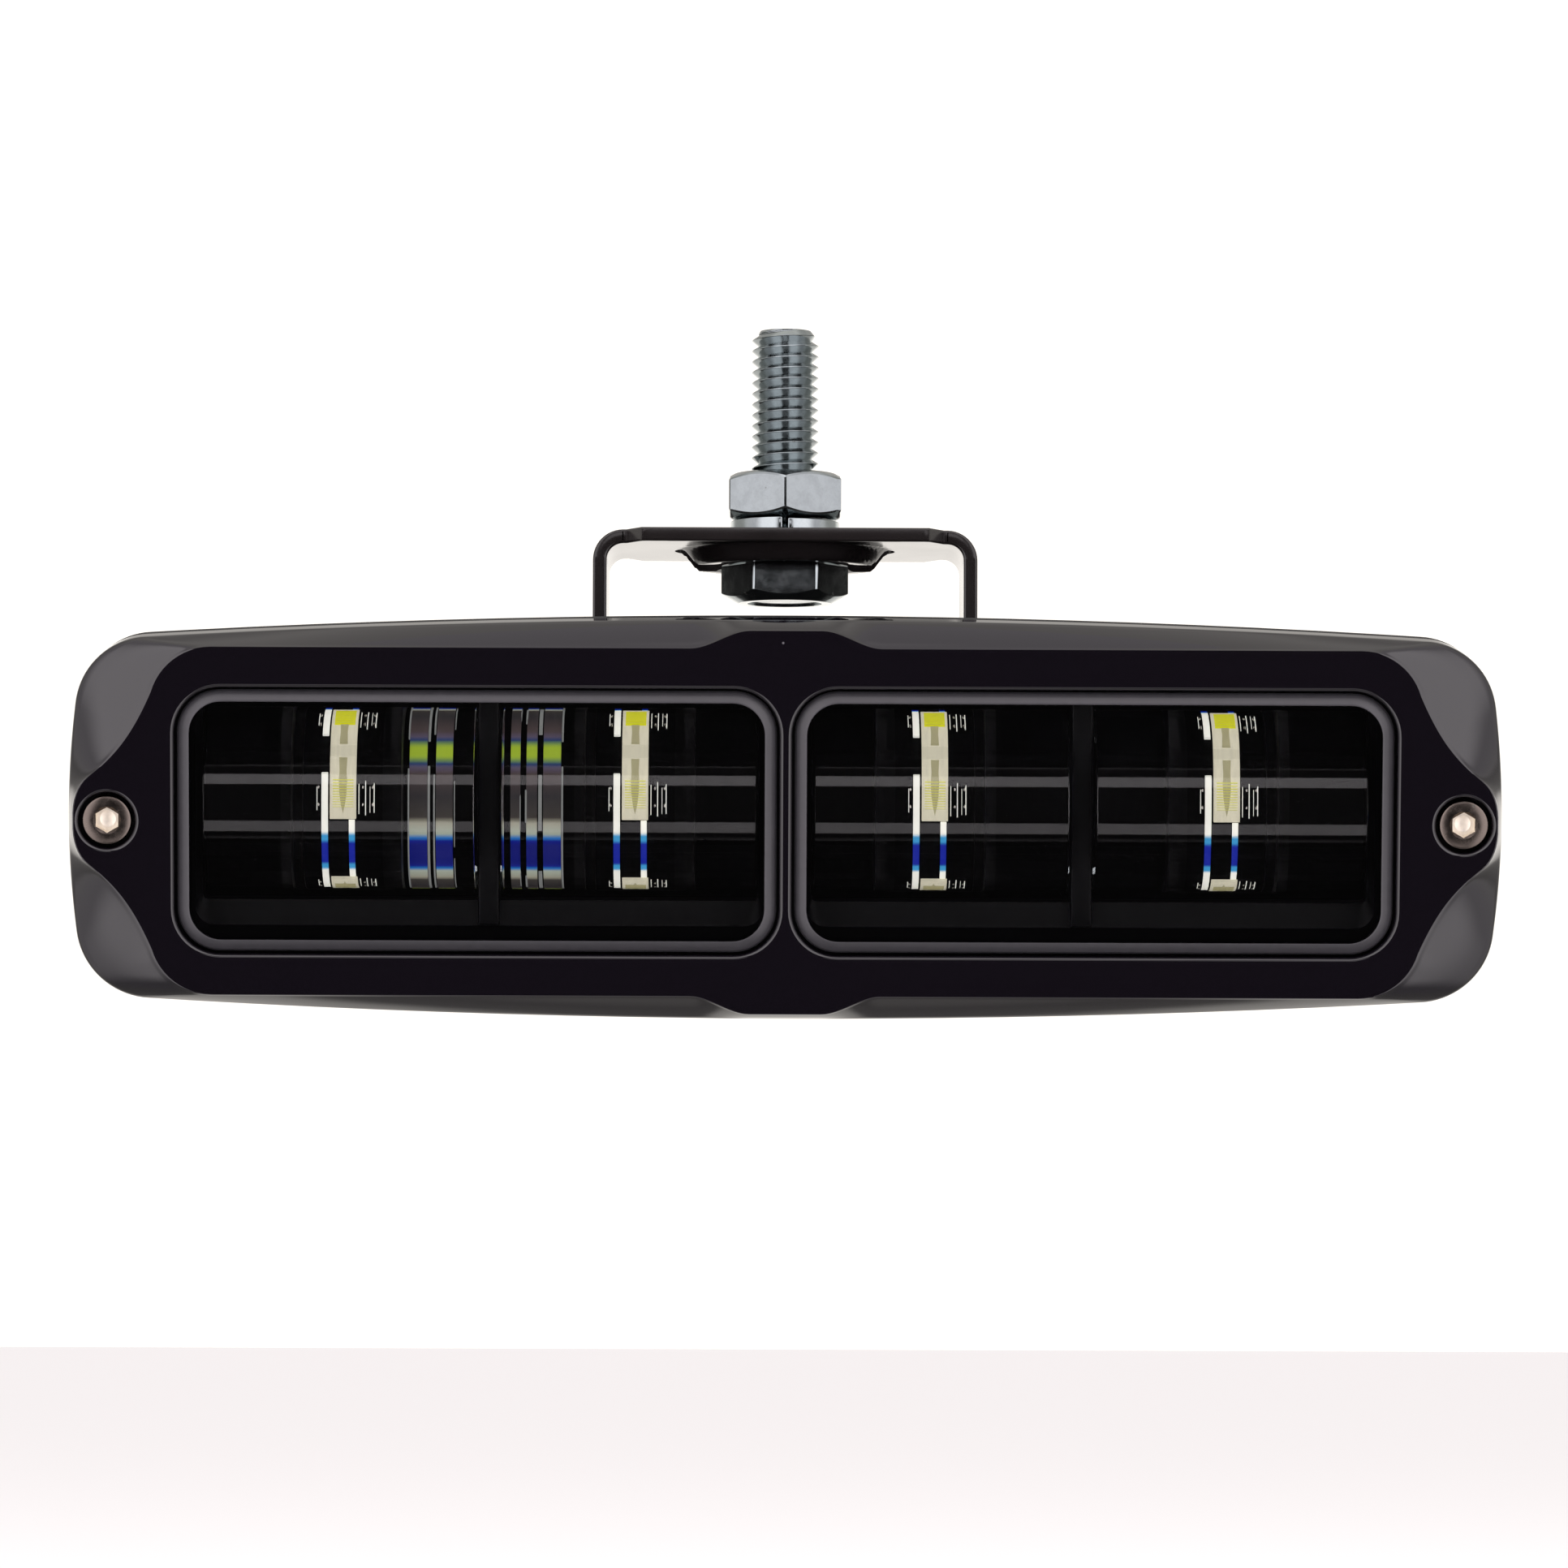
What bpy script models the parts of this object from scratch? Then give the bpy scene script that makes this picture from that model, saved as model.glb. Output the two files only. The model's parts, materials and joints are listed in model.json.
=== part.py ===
"""Twin-window LED fog light on a swivelling U bracket, as separate sub-parts.

Frame: metres, +Z up.  The origin is on the mounting bolt's axis, at the top
face of the bracket.  The lamp looks towards -Y.  Every lamp piece is written
in the lamp's own frame, whose origin is on the tilt axis (along X), and hangs
from the empty `lamp_pivot`, which carries the lamp's rest tilt.
"""

import math

import bmesh
import bpy
from mathutils import Matrix, Vector

MM = 0.001

# ---------------------------------------------------------------- dimensions
# Mounting hardware (M8, axis +Z through the origin)
BOLT_MAJOR_D = 7.9 * MM
HEX_FLATS = 13.0 * MM
BOLT_HEAD_BOTTOM = -7.7 * MM
BOLT_HEAD_TOP = -3.15 * MM
BOLT_TIP = 24.15 * MM
FLAT_WASHER_D = 16.0 * MM
FLAT_WASHER_Z = (-1.45 * MM, 0.10 * MM)
SPRING_WASHER_D = 12.7 * MM
SPRING_WASHER_Z = (0.15 * MM, 1.9 * MM)
NUT_Z = (1.95 * MM, 7.45 * MM)
NUT_BORE_D = 8.2 * MM
WASHER_BORE_D = 8.5 * MM

# Bracket (one bent strip of sheet)
SHEET = 1.6 * MM
BRACKET_HALF_WIDTH = 22.15 * MM
BEND_OUTER_R = 3.5 * MM
PLATE_HALF_DEPTH = 13.0 * MM
PLATE_WIDE_TO_X = 16.5 * MM
SHOULDER_X = 18.3 * MM
LEG_HALF_DEPTH = 10.0 * MM
LEG_TIP_R = 8.0 * MM
LEG_TAPER_FROM = -14.0 * MM
BOWL_TOP_R = 11.8 * MM
BOWL_FLOOR_R = 9.0 * MM
BOWL_DEPTH = 1.5 * MM
SLOT_WIDTH = 9.0 * MM
SLOT_LENGTH = 25.6 * MM
PIVOT_HOLE_D = 5.6 * MM

# Lamp placement
PIVOT_DROP = 28.8 * MM
REST_TILT = math.radians(10.0)

# Bezel outline and its raised front
BEZEL_HALF_WIDTH = 80.1 * MM
BEZEL_HALF_HEIGHT = 22.45 * MM
TOP_EDGE_R = 1200.0 * MM
SIDE_EDGE_R = 103.0 * MM
CORNER_R = 8.5 * MM
CORNER_CENTRE = (70.86 * MM, 11.85 * MM)
PLATEAU_HALF_HEIGHT = 19.5 * MM
BULGE_HALF_HEIGHT = 21.5 * MM
BULGE_FLAT_X = 4.0 * MM
BULGE_END_X = 10.7 * MM
PLATEAU_CORNER_R = 7.0 * MM
PLATEAU_CORNER_X = 64.0 * MM
TIP_X = 79.4 * MM
TIP_HALF_HEIGHT = 3.6 * MM
BEZEL_FRONT_Y = -39.0 * MM
BEZEL_EDGE_Y = -36.0 * MM
BEZEL_WALL_BACK_Y = -35.5 * MM
BEZEL_BACK_Y = -32.5 * MM
SKIRT_WALL = 2.0 * MM

# Windows, panes and lenses
WINDOW_X = 34.4 * MM
WINDOW_W, WINDOW_H, WINDOW_R = 68.2 * MM, 30.9 * MM, 5.5 * MM
SEAT_W, SEAT_H, SEAT_R = 67.4 * MM, 29.9 * MM, 5.1 * MM
CLEAR_W, CLEAR_H, CLEAR_R = 64.4 * MM, 27.2 * MM, 3.6 * MM
SEAT_CHAMFER_Y = -38.5 * MM
LEDGE_Y = -36.3 * MM
PANE_FRONT_Y = -38.55 * MM
PANE_BEVEL_Y = -37.7 * MM
PANE_BACK_Y = -36.85 * MM
LENS_SPANS = ((-65.2, -34.8), (-31.8, -3.2), (3.2, 31.8), (34.8, 65.2))
LENS_HALF_HEIGHT = 10.3 * MM
LENS_LIFT = 1.2 * MM
# Radius in mm, conic constant, then the fourth- and sixth-order terms
LENS_FRONT = (11.386, 0.2033, 5.204e-5, 6.0e-7)
LENS_BACK = (-60.0, 0.0, -3.974e-5, 0.0)
LENS_APEX_Y = -35.475 * MM
LENS_EDGE = 0.8 * MM
LED_LIFT = 0.3 * MM
LED_X = (-50.1, -17.0, 17.0, 50.1)

# Housing and the parts inside it
GASKET_Y = (-32.4 * MM, -31.6 * MM)
HOUSING_RIM_Y = -31.5 * MM
RIM_STEP_Y = (-28.8 * MM, -28.0 * MM)
HOUSING_CHAMFER_Y = -17.5 * MM
HOUSING_BACK_Y = -15.2 * MM
CAVITY_FLOOR_Y = -17.0 * MM
BOARD_Y = (-18.9 * MM, -17.4 * MM)
PAD_Y = (-17.35 * MM, -17.05 * MM)
LED_Y = (-19.65 * MM, -18.95 * MM)
SHROUD_Y = (-23.9 * MM, -18.95 * MM)
FRAME_Y = (-35.2 * MM, -26.6 * MM)
BLOCK_HALF_WIDTH = 19.2 * MM
BLOCK_REAR_Y = 14.0 * MM
DRIVER_CAVITY_HALF = 10.8 * MM
FIN_X = (31.0, 37.0, 43.0, 49.0, 55.0, 61.0, 67.0)
FIN_THICKNESS = 1.8 * MM
FIN_REAR_Y = -5.0 * MM
BEZEL_SCREW_X = 75.6 * MM
BOARD_SCREW_AT = ((-33.3, -9.0), (-33.3, 9.0), (33.3, -9.0), (33.3, 9.0))
GLAND_X = 6.5 * MM
VENT_X = -9.5 * MM


# ------------------------------------------------------------------- helpers
def clear_scene():
    """Remove every object that the new file starts with."""
    for obj in list(bpy.data.objects):
        bpy.data.objects.remove(obj, do_unlink=True)


def material(name, colour, roughness, metallic=0.0, transmission=0.0, emission=0.0):
    """Return the named Principled material, made on first use."""
    found = bpy.data.materials.get(name)
    if found:
        return found
    mat = bpy.data.materials.new(name)
    mat.use_nodes = True
    shader = mat.node_tree.nodes["Principled BSDF"]
    shader.inputs["Base Color"].default_value = (*colour, 1.0)
    shader.inputs["Roughness"].default_value = roughness
    shader.inputs["Metallic"].default_value = metallic
    shader.inputs["Transmission Weight"].default_value = transmission
    if emission:
        shader.inputs["Emission Color"].default_value = (*colour, 1.0)
        shader.inputs["Emission Strength"].default_value = emission
    mat.diffuse_color = (*colour, 1.0)
    return mat


def zinc():
    """Bright zinc plating of the mounting hardware."""
    return material("zinc_plated_steel", (0.62, 0.64, 0.66), 0.25, 1.0)


def stainless():
    """Polished stainless steel of the small screws."""
    return material("stainless_steel", (0.66, 0.63, 0.58), 0.22, 1.0)


def powder_coat():
    """Black powder coat of the sheet-metal bracket."""
    return material("black_powder_coat", (0.022, 0.022, 0.024), 0.5)


def cast_black():
    """Black-painted die-cast aluminium."""
    return material("black_painted_casting", (0.02, 0.02, 0.022), 0.45)


def gloss_black():
    """Moulded gloss-black plastic."""
    return material("gloss_black_plastic", (0.01, 0.01, 0.012), 0.08)


def matt_black():
    """Dark textured plastic of the pieces behind the panes."""
    return material("matt_black_plastic", (0.012, 0.012, 0.013), 0.4)


def rubber():
    """Black sealing rubber."""
    return material("black_rubber", (0.015, 0.015, 0.015), 0.7)


def clear_pane():
    """Clear hard-coated polycarbonate."""
    return material("clear_polycarbonate", (1.0, 1.0, 1.0), 0.02, 0.0, 1.0)


def build_object(name, verts, faces, mat):
    """Make one object from vertices and faces, normals outwards."""
    mesh = bpy.data.meshes.new(name)
    mesh.from_pydata(verts, [], faces)
    work = bmesh.new()
    work.from_mesh(mesh)
    bmesh.ops.recalc_face_normals(work, faces=work.faces)
    big = [face for face in work.faces if len(face.verts) > 4]
    bmesh.ops.triangulate(work, faces=big, quad_method="BEAUTY", ngon_method="BEAUTY")
    work.to_mesh(mesh)
    work.free()
    obj = bpy.data.objects.new(name, mesh)
    bpy.context.scene.collection.objects.link(obj)
    mesh.materials.append(mat)
    return obj


def combine(obj, tool, operation="DIFFERENCE"):
    """Apply one exact Boolean to obj and remove the tool object."""
    tool.hide_render = True
    tool.display_type = "WIRE"
    modifier = obj.modifiers.new("boolean", "BOOLEAN")
    modifier.operation = operation
    modifier.solver = "EXACT"
    modifier.object = tool
    bpy.context.view_layer.update()
    graph = bpy.context.evaluated_depsgraph_get()
    result = bpy.data.meshes.new_from_object(obj.evaluated_get(graph))
    obj.modifiers.clear()
    old = obj.data
    obj.data = result
    bpy.data.meshes.remove(old)
    bpy.data.objects.remove(tool, do_unlink=True)
    return obj


def loft(name, rings, mat, loop=False):
    """Skin equal-count rings of (points in XZ, y); loop joins last to first."""
    count = len(rings[0][0])
    verts = [(x, y, z) for points, y in rings for x, z in points]
    faces = []
    total = len(rings)
    for ring in range(total if loop else total - 1):
        here = ring * count
        there = ((ring + 1) % total) * count
        for i in range(count):
            j = (i + 1) % count
            faces.append((here + i, here + j, there + j, there + i))
    if not loop:
        faces.append(tuple(range(count)))
        faces.append(tuple((total - 1) * count + i for i in range(count)))
    return build_object(name, verts, faces, mat)


def on_axis(axis, centre, u, v, w):
    """Place (u, v) across and w along the named axis, from centre."""
    cx, cy, cz = centre
    if axis == "X":
        return (cx + w, cy + u, cz + v)
    if axis == "Y":
        return (cx + u, cy + w, cz + v)
    return (cx + u, cy + v, cz + w)


def lathe(name, profile, mat, centre=(0, 0, 0), axis="Z", segments=48):
    """Turn a closed (radius, along) profile round an axis; radius 0 is a pole."""
    verts = []
    index = []
    for radius, along in profile:
        if radius < 1e-9:
            index.append([len(verts)] * segments)
            verts.append(on_axis(axis, centre, 0.0, 0.0, along))
            continue
        index.append(list(range(len(verts), len(verts) + segments)))
        for step in range(segments):
            angle = 2.0 * math.pi * step / segments
            u = radius * math.cos(angle)
            v = radius * math.sin(angle)
            verts.append(on_axis(axis, centre, u, v, along))
    faces = []
    for k in range(len(profile)):
        ring, after = index[k], index[(k + 1) % len(profile)]
        for step in range(segments):
            nxt = (step + 1) % segments
            corners = [ring[step], ring[nxt], after[nxt], after[step]]
            unique = list(dict.fromkeys(corners))
            if len(unique) >= 3:
                faces.append(tuple(unique))
    return build_object(name, verts, faces, mat)


def cylinder(name, radius, low, high, mat, centre=(0, 0, 0), axis="Z", segments=48):
    """Plain cylinder between two positions along an axis."""
    profile = [(0, low), (radius, low), (radius, high), (0, high)]
    return lathe(name, profile, mat, centre, axis, segments)


def hexagon(name, flats, low, high, mat, centre=(0, 0, 0), axis="Z", turn=0.0):
    """Six-sided prism with the given width across flats."""
    radius = flats / math.sqrt(3.0)
    corners = []
    for step in range(6):
        angle = turn + math.pi * step / 3.0
        corners.append((radius * math.cos(angle), radius * math.sin(angle)))
    verts = [on_axis(axis, centre, u, v, w) for w in (low, high) for u, v in corners]
    faces = [(i, (i + 1) % 6, 6 + (i + 1) % 6, 6 + i) for i in range(6)]
    faces += [tuple(range(6)), tuple(range(6, 12))]
    return build_object(name, verts, faces, mat)


def box(name, low, high, mat):
    """Axis-aligned box between two corners."""
    verts = [(x, y, z) for x in (low[0], high[0]) for y in (low[1], high[1]) for z in (low[2], high[2])]
    faces = [(0, 1, 3, 2), (4, 5, 7, 6), (0, 1, 5, 4), (2, 3, 7, 6), (0, 2, 6, 4), (1, 3, 7, 5)]
    return build_object(name, verts, faces, mat)


def prism_x(name, section, low, high, mat):
    """Extrude a (y, z) section along X."""
    count = len(section)
    verts = [(x, y, z) for x in (low, high) for y, z in section]
    faces = [(i, (i + 1) % count, count + (i + 1) % count, count + i) for i in range(count)]
    faces += [tuple(range(count)), tuple(range(count, 2 * count))]
    return build_object(name, verts, faces, mat)


def rounded_rect(centre_x, width, height, radius, steps=6):
    """Points (x, z) of a rounded rectangle, clockwise from the upper left."""
    points = []
    half_w, half_h = width / 2 - radius, height / 2 - radius
    corners = ((-half_w, half_h, 180), (half_w, half_h, 90), (half_w, -half_h, 0), (-half_w, -half_h, -90))
    for cx, cz, start in corners:
        for step in range(steps + 1):
            angle = math.radians(start - 90.0 * step / steps)
            points.append((centre_x + cx + radius * math.cos(angle), cz + radius * math.sin(angle)))
    return points


def lerp_points(first, second, share):
    """Blend two equal-count rings point by point."""
    return [((1 - share) * a + share * c, (1 - share) * b + share * d) for (a, b), (c, d) in zip(first, second)]


def inset(points, distance):
    """Move each point of a clockwise outline inwards along its normal."""
    count = len(points)
    moved = []
    for i, (x, z) in enumerate(points):
        before, after = points[i - 1], points[(i + 1) % count]
        tangent = Vector((after[0] - before[0], after[1] - before[1])).normalized()
        moved.append((x + tangent.y * distance, z - tangent.x * distance))
    return moved


def four_quadrants(quadrant):
    """Mirror a top-centre-to-right-hand quadrant into a closed outline."""
    right_low = [(x, -z) for x, z in reversed(quadrant[:-1])]
    left_low = [(-x, -z) for x, z in quadrant[1:]]
    left_high = [(-x, z) for x, z in reversed(quadrant[1:-1])]
    return quadrant + right_low + left_low + left_high


def spaced(low, high, steps):
    """Evenly spaced values after low, up to and including high."""
    return [low + (high - low) * (k + 1) / steps for k in range(steps)]


def body_outline():
    """Outer outline of the bezel: shallow arcs joined by corner arcs."""
    def top(x):
        return (x, BEZEL_HALF_HEIGHT - x * x / (2 * TOP_EDGE_R))

    def side(z):
        return (BEZEL_HALF_WIDTH - z * z / (2 * SIDE_EDGE_R), z)

    def corner(degrees):
        angle = math.radians(degrees)
        return (CORNER_CENTRE[0] + CORNER_R * math.cos(angle), CORNER_CENTRE[1] + CORNER_R * math.sin(angle))

    quadrant = [top(0.0)]
    quadrant += [top(x) for x in spaced(0.0, BULGE_FLAT_X, 2)]
    quadrant += [top(x) for x in spaced(BULGE_FLAT_X, BULGE_END_X, 6)]
    quadrant += [top(x) for x in spaced(BULGE_END_X, 67.0 * MM, 5)]
    quadrant += [corner(a) for a in spaced(98.0, 44.0, 6) if a < 88.0]
    quadrant += [corner(a) for a in spaced(44.0, 7.0, 5)]
    quadrant += [side(z) for z in spaced(12.8 * MM, TIP_HALF_HEIGHT, 6)]
    quadrant += [side(z) for z in spaced(TIP_HALF_HEIGHT, 0.0, 3)]
    return four_quadrants(quadrant)


def plateau_outline():
    """Outline of the raised front, matched point for point to the body."""
    def bulge(x):
        share = (x - BULGE_FLAT_X) / (BULGE_END_X - BULGE_FLAT_X)
        ease = share * share * (3 - 2 * share)
        return (x, BULGE_HALF_HEIGHT + (PLATEAU_HALF_HEIGHT - BULGE_HALF_HEIGHT) * ease)

    def corner(degrees):
        angle = math.radians(degrees)
        centre_z = PLATEAU_HALF_HEIGHT - PLATEAU_CORNER_R
        return (PLATEAU_CORNER_X + PLATEAU_CORNER_R * math.cos(angle), centre_z + PLATEAU_CORNER_R * math.sin(angle))

    def scoop(share):
        start = Vector(corner(16.0))
        end = Vector((TIP_X - 0.4 * MM, TIP_HALF_HEIGHT))
        first, second = Vector((73.2 * MM, 8.6 * MM)), Vector((75.0 * MM, 7.0 * MM))
        rest = 1 - share
        point = start * rest**3 + first * 3 * rest * rest * share + second * 3 * rest * share**2 + end * share**3
        return (point.x, point.y)

    def tip(z):
        return (TIP_X - 0.4 * MM * (z / TIP_HALF_HEIGHT) ** 2, z)

    quadrant = [(0.0, BULGE_HALF_HEIGHT)]
    quadrant += [(x, BULGE_HALF_HEIGHT) for x in spaced(0.0, BULGE_FLAT_X, 2)]
    quadrant += [bulge(x) for x in spaced(BULGE_FLAT_X, BULGE_END_X, 6)]
    quadrant += [(x, PLATEAU_HALF_HEIGHT) for x in spaced(BULGE_END_X, PLATEAU_CORNER_X, 5)]
    quadrant += [corner(a) for a in spaced(90.0, 16.0, 5)]
    quadrant += [scoop(s) for s in spaced(0.0, 1.0, 11)]
    quadrant += [tip(z) for z in spaced(TIP_HALF_HEIGHT, 0.0, 3)]
    return four_quadrants(quadrant)


# --------------------------------------------------------- mounting hardware
def mounting_bolt():
    """Hex bolt, head under the bracket, plain cylinder where the thread runs."""
    head = hexagon("mounting_bolt", HEX_FLATS, BOLT_HEAD_BOTTOM, BOLT_HEAD_TOP, zinc())
    corner = HEX_FLATS / math.sqrt(3.0)
    crown = [
        (0, BOLT_HEAD_BOTTOM - 1 * MM),
        (corner - 2.6 * MM, BOLT_HEAD_BOTTOM - 1 * MM),
        (corner - 1.0 * MM, BOLT_HEAD_BOTTOM),
        (corner + 1.0 * MM, BOLT_HEAD_BOTTOM + 1.0 * MM),
        (corner + 1.0 * MM, BOLT_HEAD_TOP + 1 * MM),
        (0, BOLT_HEAD_TOP + 1 * MM),
    ]
    combine(head, lathe("crown", crown, zinc()), "INTERSECT")
    radius = BOLT_MAJOR_D / 2
    shank = [
        (0, BOLT_HEAD_BOTTOM + 1 * MM),
        (radius, BOLT_HEAD_BOTTOM + 1 * MM),
        (radius, BOLT_TIP - 0.9 * MM),
        (radius - 0.8 * MM, BOLT_TIP),
        (0, BOLT_TIP),
    ]
    return combine(head, lathe("shank", shank, zinc()), "UNION")


def flat_washer():
    """Flat washer lying in the pressed bowl."""
    low, high = FLAT_WASHER_Z
    profile = [(WASHER_BORE_D / 2, low), (FLAT_WASHER_D / 2, low), (FLAT_WASHER_D / 2, high), (WASHER_BORE_D / 2, high)]
    return lathe("flat_washer", profile, zinc(), segments=64)


def spring_washer():
    """Split spring washer, its gap to the front and its ends slightly offset."""
    low, high = SPRING_WASHER_Z
    rise = 0.15 * MM
    gap = math.radians(9.0)
    steps = 60
    inner, outer = WASHER_BORE_D / 2, SPRING_WASHER_D / 2
    verts = []
    for step in range(steps + 1):
        share = step / steps
        angle = -math.pi / 2 + gap / 2 + (2 * math.pi - gap) * share
        bottom = low + rise * share
        top = high - rise * (1 - share)
        for radius, height in ((inner, bottom), (outer, bottom), (outer, top), (inner, top)):
            verts.append((radius * math.cos(angle), radius * math.sin(angle), height))
    faces = [(0, 1, 2, 3), tuple(4 * steps + k for k in range(4))]
    for step in range(steps):
        base = 4 * step
        faces += [(base + k, base + (k + 1) % 4, base + 4 + (k + 1) % 4, base + 4 + k) for k in range(4)]
    return build_object("spring_washer", verts, faces, zinc())


def mounting_nut():
    """Hex nut, chamfered on both faces."""
    low, high = NUT_Z
    nut = hexagon("mounting_nut", HEX_FLATS, low, high, zinc(), turn=math.pi / 6)
    corner = HEX_FLATS / math.sqrt(3.0)
    barrel = [
        (NUT_BORE_D / 2, low - 1 * MM),
        (corner - 2.7 * MM, low - 1 * MM),
        (corner - 1.0 * MM, low),
        (corner + 0.7 * MM, low + 1.0 * MM),
        (corner + 0.7 * MM, high - 1.0 * MM),
        (corner - 1.0 * MM, high),
        (corner - 2.7 * MM, high + 1 * MM),
        (NUT_BORE_D / 2, high + 1 * MM),
    ]
    return combine(nut, lathe("barrel", barrel, zinc()), "INTERSECT")


# ------------------------------------------------------------------- bracket
def bracket_stations():
    """(outer point, inner point, half depth) along the right half of the strip."""
    bend_x = BRACKET_HALF_WIDTH - BEND_OUTER_R
    inner_r = BEND_OUTER_R - SHEET
    stations = [
        ((PLATE_WIDE_TO_X, 0.0), (PLATE_WIDE_TO_X, -SHEET), PLATE_HALF_DEPTH),
        ((SHOULDER_X, 0.0), (SHOULDER_X, -SHEET), LEG_HALF_DEPTH),
    ]
    for step in range(7):
        angle = math.radians(90.0 - 15.0 * step)
        cos, sin = math.cos(angle), math.sin(angle)
        outer = (bend_x + BEND_OUTER_R * cos, -BEND_OUTER_R + BEND_OUTER_R * sin)
        inner = (bend_x + inner_r * cos, -BEND_OUTER_R + inner_r * sin)
        stations.append((outer, inner, LEG_HALF_DEPTH))
    outer_x, inner_x = BRACKET_HALF_WIDTH, BRACKET_HALF_WIDTH - SHEET
    stations.append(((outer_x, LEG_TAPER_FROM), (inner_x, LEG_TAPER_FROM), LEG_HALF_DEPTH))
    for degrees in (0, 15, 30, 45, 60, 72, 82, 87):
        angle = math.radians(degrees)
        z = -PIVOT_DROP - LEG_TIP_R * math.sin(angle)
        stations.append(((outer_x, z), (inner_x, z), LEG_TIP_R * math.cos(angle)))
    return stations


def mounting_bracket():
    """U bracket bent from one strip, with a pressed bowl, a slot and pivot holes."""
    right = bracket_stations()
    left = [((-ox, oz), (-ix, iz), half) for (ox, oz), (ix, iz), half in reversed(right)]
    verts = []
    for (ox, oz), (ix, iz), half in left + right:
        verts += [(ox, -half, oz), (ox, half, oz), (ix, half, iz), (ix, -half, iz)]
    total = len(left + right)
    faces = [(0, 1, 2, 3), tuple(4 * (total - 1) + k for k in range(4))]
    for station in range(total - 1):
        base = 4 * station
        faces += [(base + k, base + (k + 1) % 4, base + 4 + (k + 1) % 4, base + 4 + k) for k in range(4)]
    bracket = build_object("mounting_bracket", verts, faces, powder_coat())

    floor_z = -BOWL_DEPTH - SHEET
    swell = [
        (0, -0.8 * MM),
        (BOWL_TOP_R + 0.8 * MM, -0.8 * MM),
        (BOWL_TOP_R + 0.8 * MM, -SHEET - 0.15 * MM),
        (BOWL_FLOOR_R + 0.9 * MM, floor_z),
        (0, floor_z),
    ]
    combine(bracket, lathe("swell", swell, powder_coat(), segments=64), "UNION")
    lean = (BOWL_TOP_R - BOWL_FLOOR_R) / BOWL_DEPTH
    over = 0.5 * MM
    pocket = [
        (0, over),
        (BOWL_TOP_R + lean * over, over),
        (BOWL_FLOOR_R, -BOWL_DEPTH),
        (0, -BOWL_DEPTH),
    ]
    combine(bracket, lathe("pocket", pocket, powder_coat(), segments=64))
    half = SLOT_LENGTH / 2 - SLOT_WIDTH / 2
    ring = []
    for side, start in ((1, -90), (-1, 90)):
        for step in range(13):
            angle = math.radians(start + 15 * step)
            ring.append((side * half + SLOT_WIDTH / 2 * math.cos(angle), SLOT_WIDTH / 2 * math.sin(angle)))
    count = len(ring)
    verts = [(x, y, z) for z in (-6 * MM, 3 * MM) for x, y in ring]
    faces = [(i, (i + 1) % count, count + (i + 1) % count, count + i) for i in range(count)]
    faces += [tuple(range(count)), tuple(range(count, 2 * count))]
    combine(bracket, build_object("slot", verts, faces, powder_coat()))
    pivot = (0, 0, -PIVOT_DROP)
    return combine(bracket, cylinder("holes", PIVOT_HOLE_D / 2, -30 * MM, 30 * MM, powder_coat(), pivot, "X", 32))


# ------------------------------------------------------------ lamp: the body
def front_bezel():
    """Bezel with a raised front, two window seats and two screw recesses."""
    outline, plateau = body_outline(), plateau_outline()
    lift = BEZEL_EDGE_Y - BEZEL_FRONT_Y
    rings = [
        (inset(outline, SKIRT_WALL + 0.4 * MM), BEZEL_WALL_BACK_Y),
        (inset(outline, SKIRT_WALL), BEZEL_WALL_BACK_Y + 0.4 * MM),
        (inset(outline, SKIRT_WALL), BEZEL_BACK_Y),
        (outline, BEZEL_BACK_Y),
        (outline, BEZEL_EDGE_Y + 0.5 * MM),
        (lerp_points(outline, plateau, 0.07), BEZEL_EDGE_Y - 0.05 * lift),
        (lerp_points(outline, plateau, 0.40), BEZEL_EDGE_Y - 0.42 * lift),
        (lerp_points(outline, plateau, 0.75), BEZEL_EDGE_Y - 0.74 * lift),
        (lerp_points(outline, plateau, 0.95), BEZEL_EDGE_Y - 0.90 * lift),
        (plateau, BEZEL_FRONT_Y),
    ]
    bezel = loft("front_bezel", rings, gloss_black())
    for side in (-1, 1):
        boss = cylinder(
            "boss", 3.4 * MM, BEZEL_WALL_BACK_Y - 0.6 * MM, BEZEL_BACK_Y - 0.3 * MM,
            gloss_black(), (side * (BEZEL_SCREW_X - 0.1 * MM), 0, 0), "Y", 32,
        )
        combine(bezel, boss, "UNION")
    for side in (-1, 1):
        x = side * WINDOW_X
        over = 0.3 * MM
        seat = [
            (rounded_rect(x, WINDOW_W + over, WINDOW_H + over, WINDOW_R), BEZEL_FRONT_Y - 0.2 * MM),
            (rounded_rect(x, SEAT_W, SEAT_H, SEAT_R), SEAT_CHAMFER_Y),
            (rounded_rect(x, SEAT_W, SEAT_H, SEAT_R), LEDGE_Y),
            (rounded_rect(x, CLEAR_W, CLEAR_H, CLEAR_R), LEDGE_Y),
            (rounded_rect(x, CLEAR_W, CLEAR_H, CLEAR_R), BEZEL_WALL_BACK_Y + 0.5 * MM),
        ]
        combine(bezel, loft("seat", seat, gloss_black()))
        centre = (side * BEZEL_SCREW_X, 0, 0)
        recess = [
            (0, BEZEL_FRONT_Y - 0.5 * MM),
            (3.95 * MM, BEZEL_FRONT_Y - 0.5 * MM),
            (3.1 * MM, BEZEL_FRONT_Y + 0.35 * MM),
            (3.1 * MM, BEZEL_FRONT_Y + 3.3 * MM),
            (1.7 * MM, BEZEL_FRONT_Y + 3.3 * MM),
            (1.7 * MM, BEZEL_BACK_Y + 1 * MM),
            (0, BEZEL_BACK_Y + 1 * MM),
        ]
        combine(bezel, lathe("recess", recess, gloss_black(), centre, "Y", 32))
    return bezel


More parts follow.
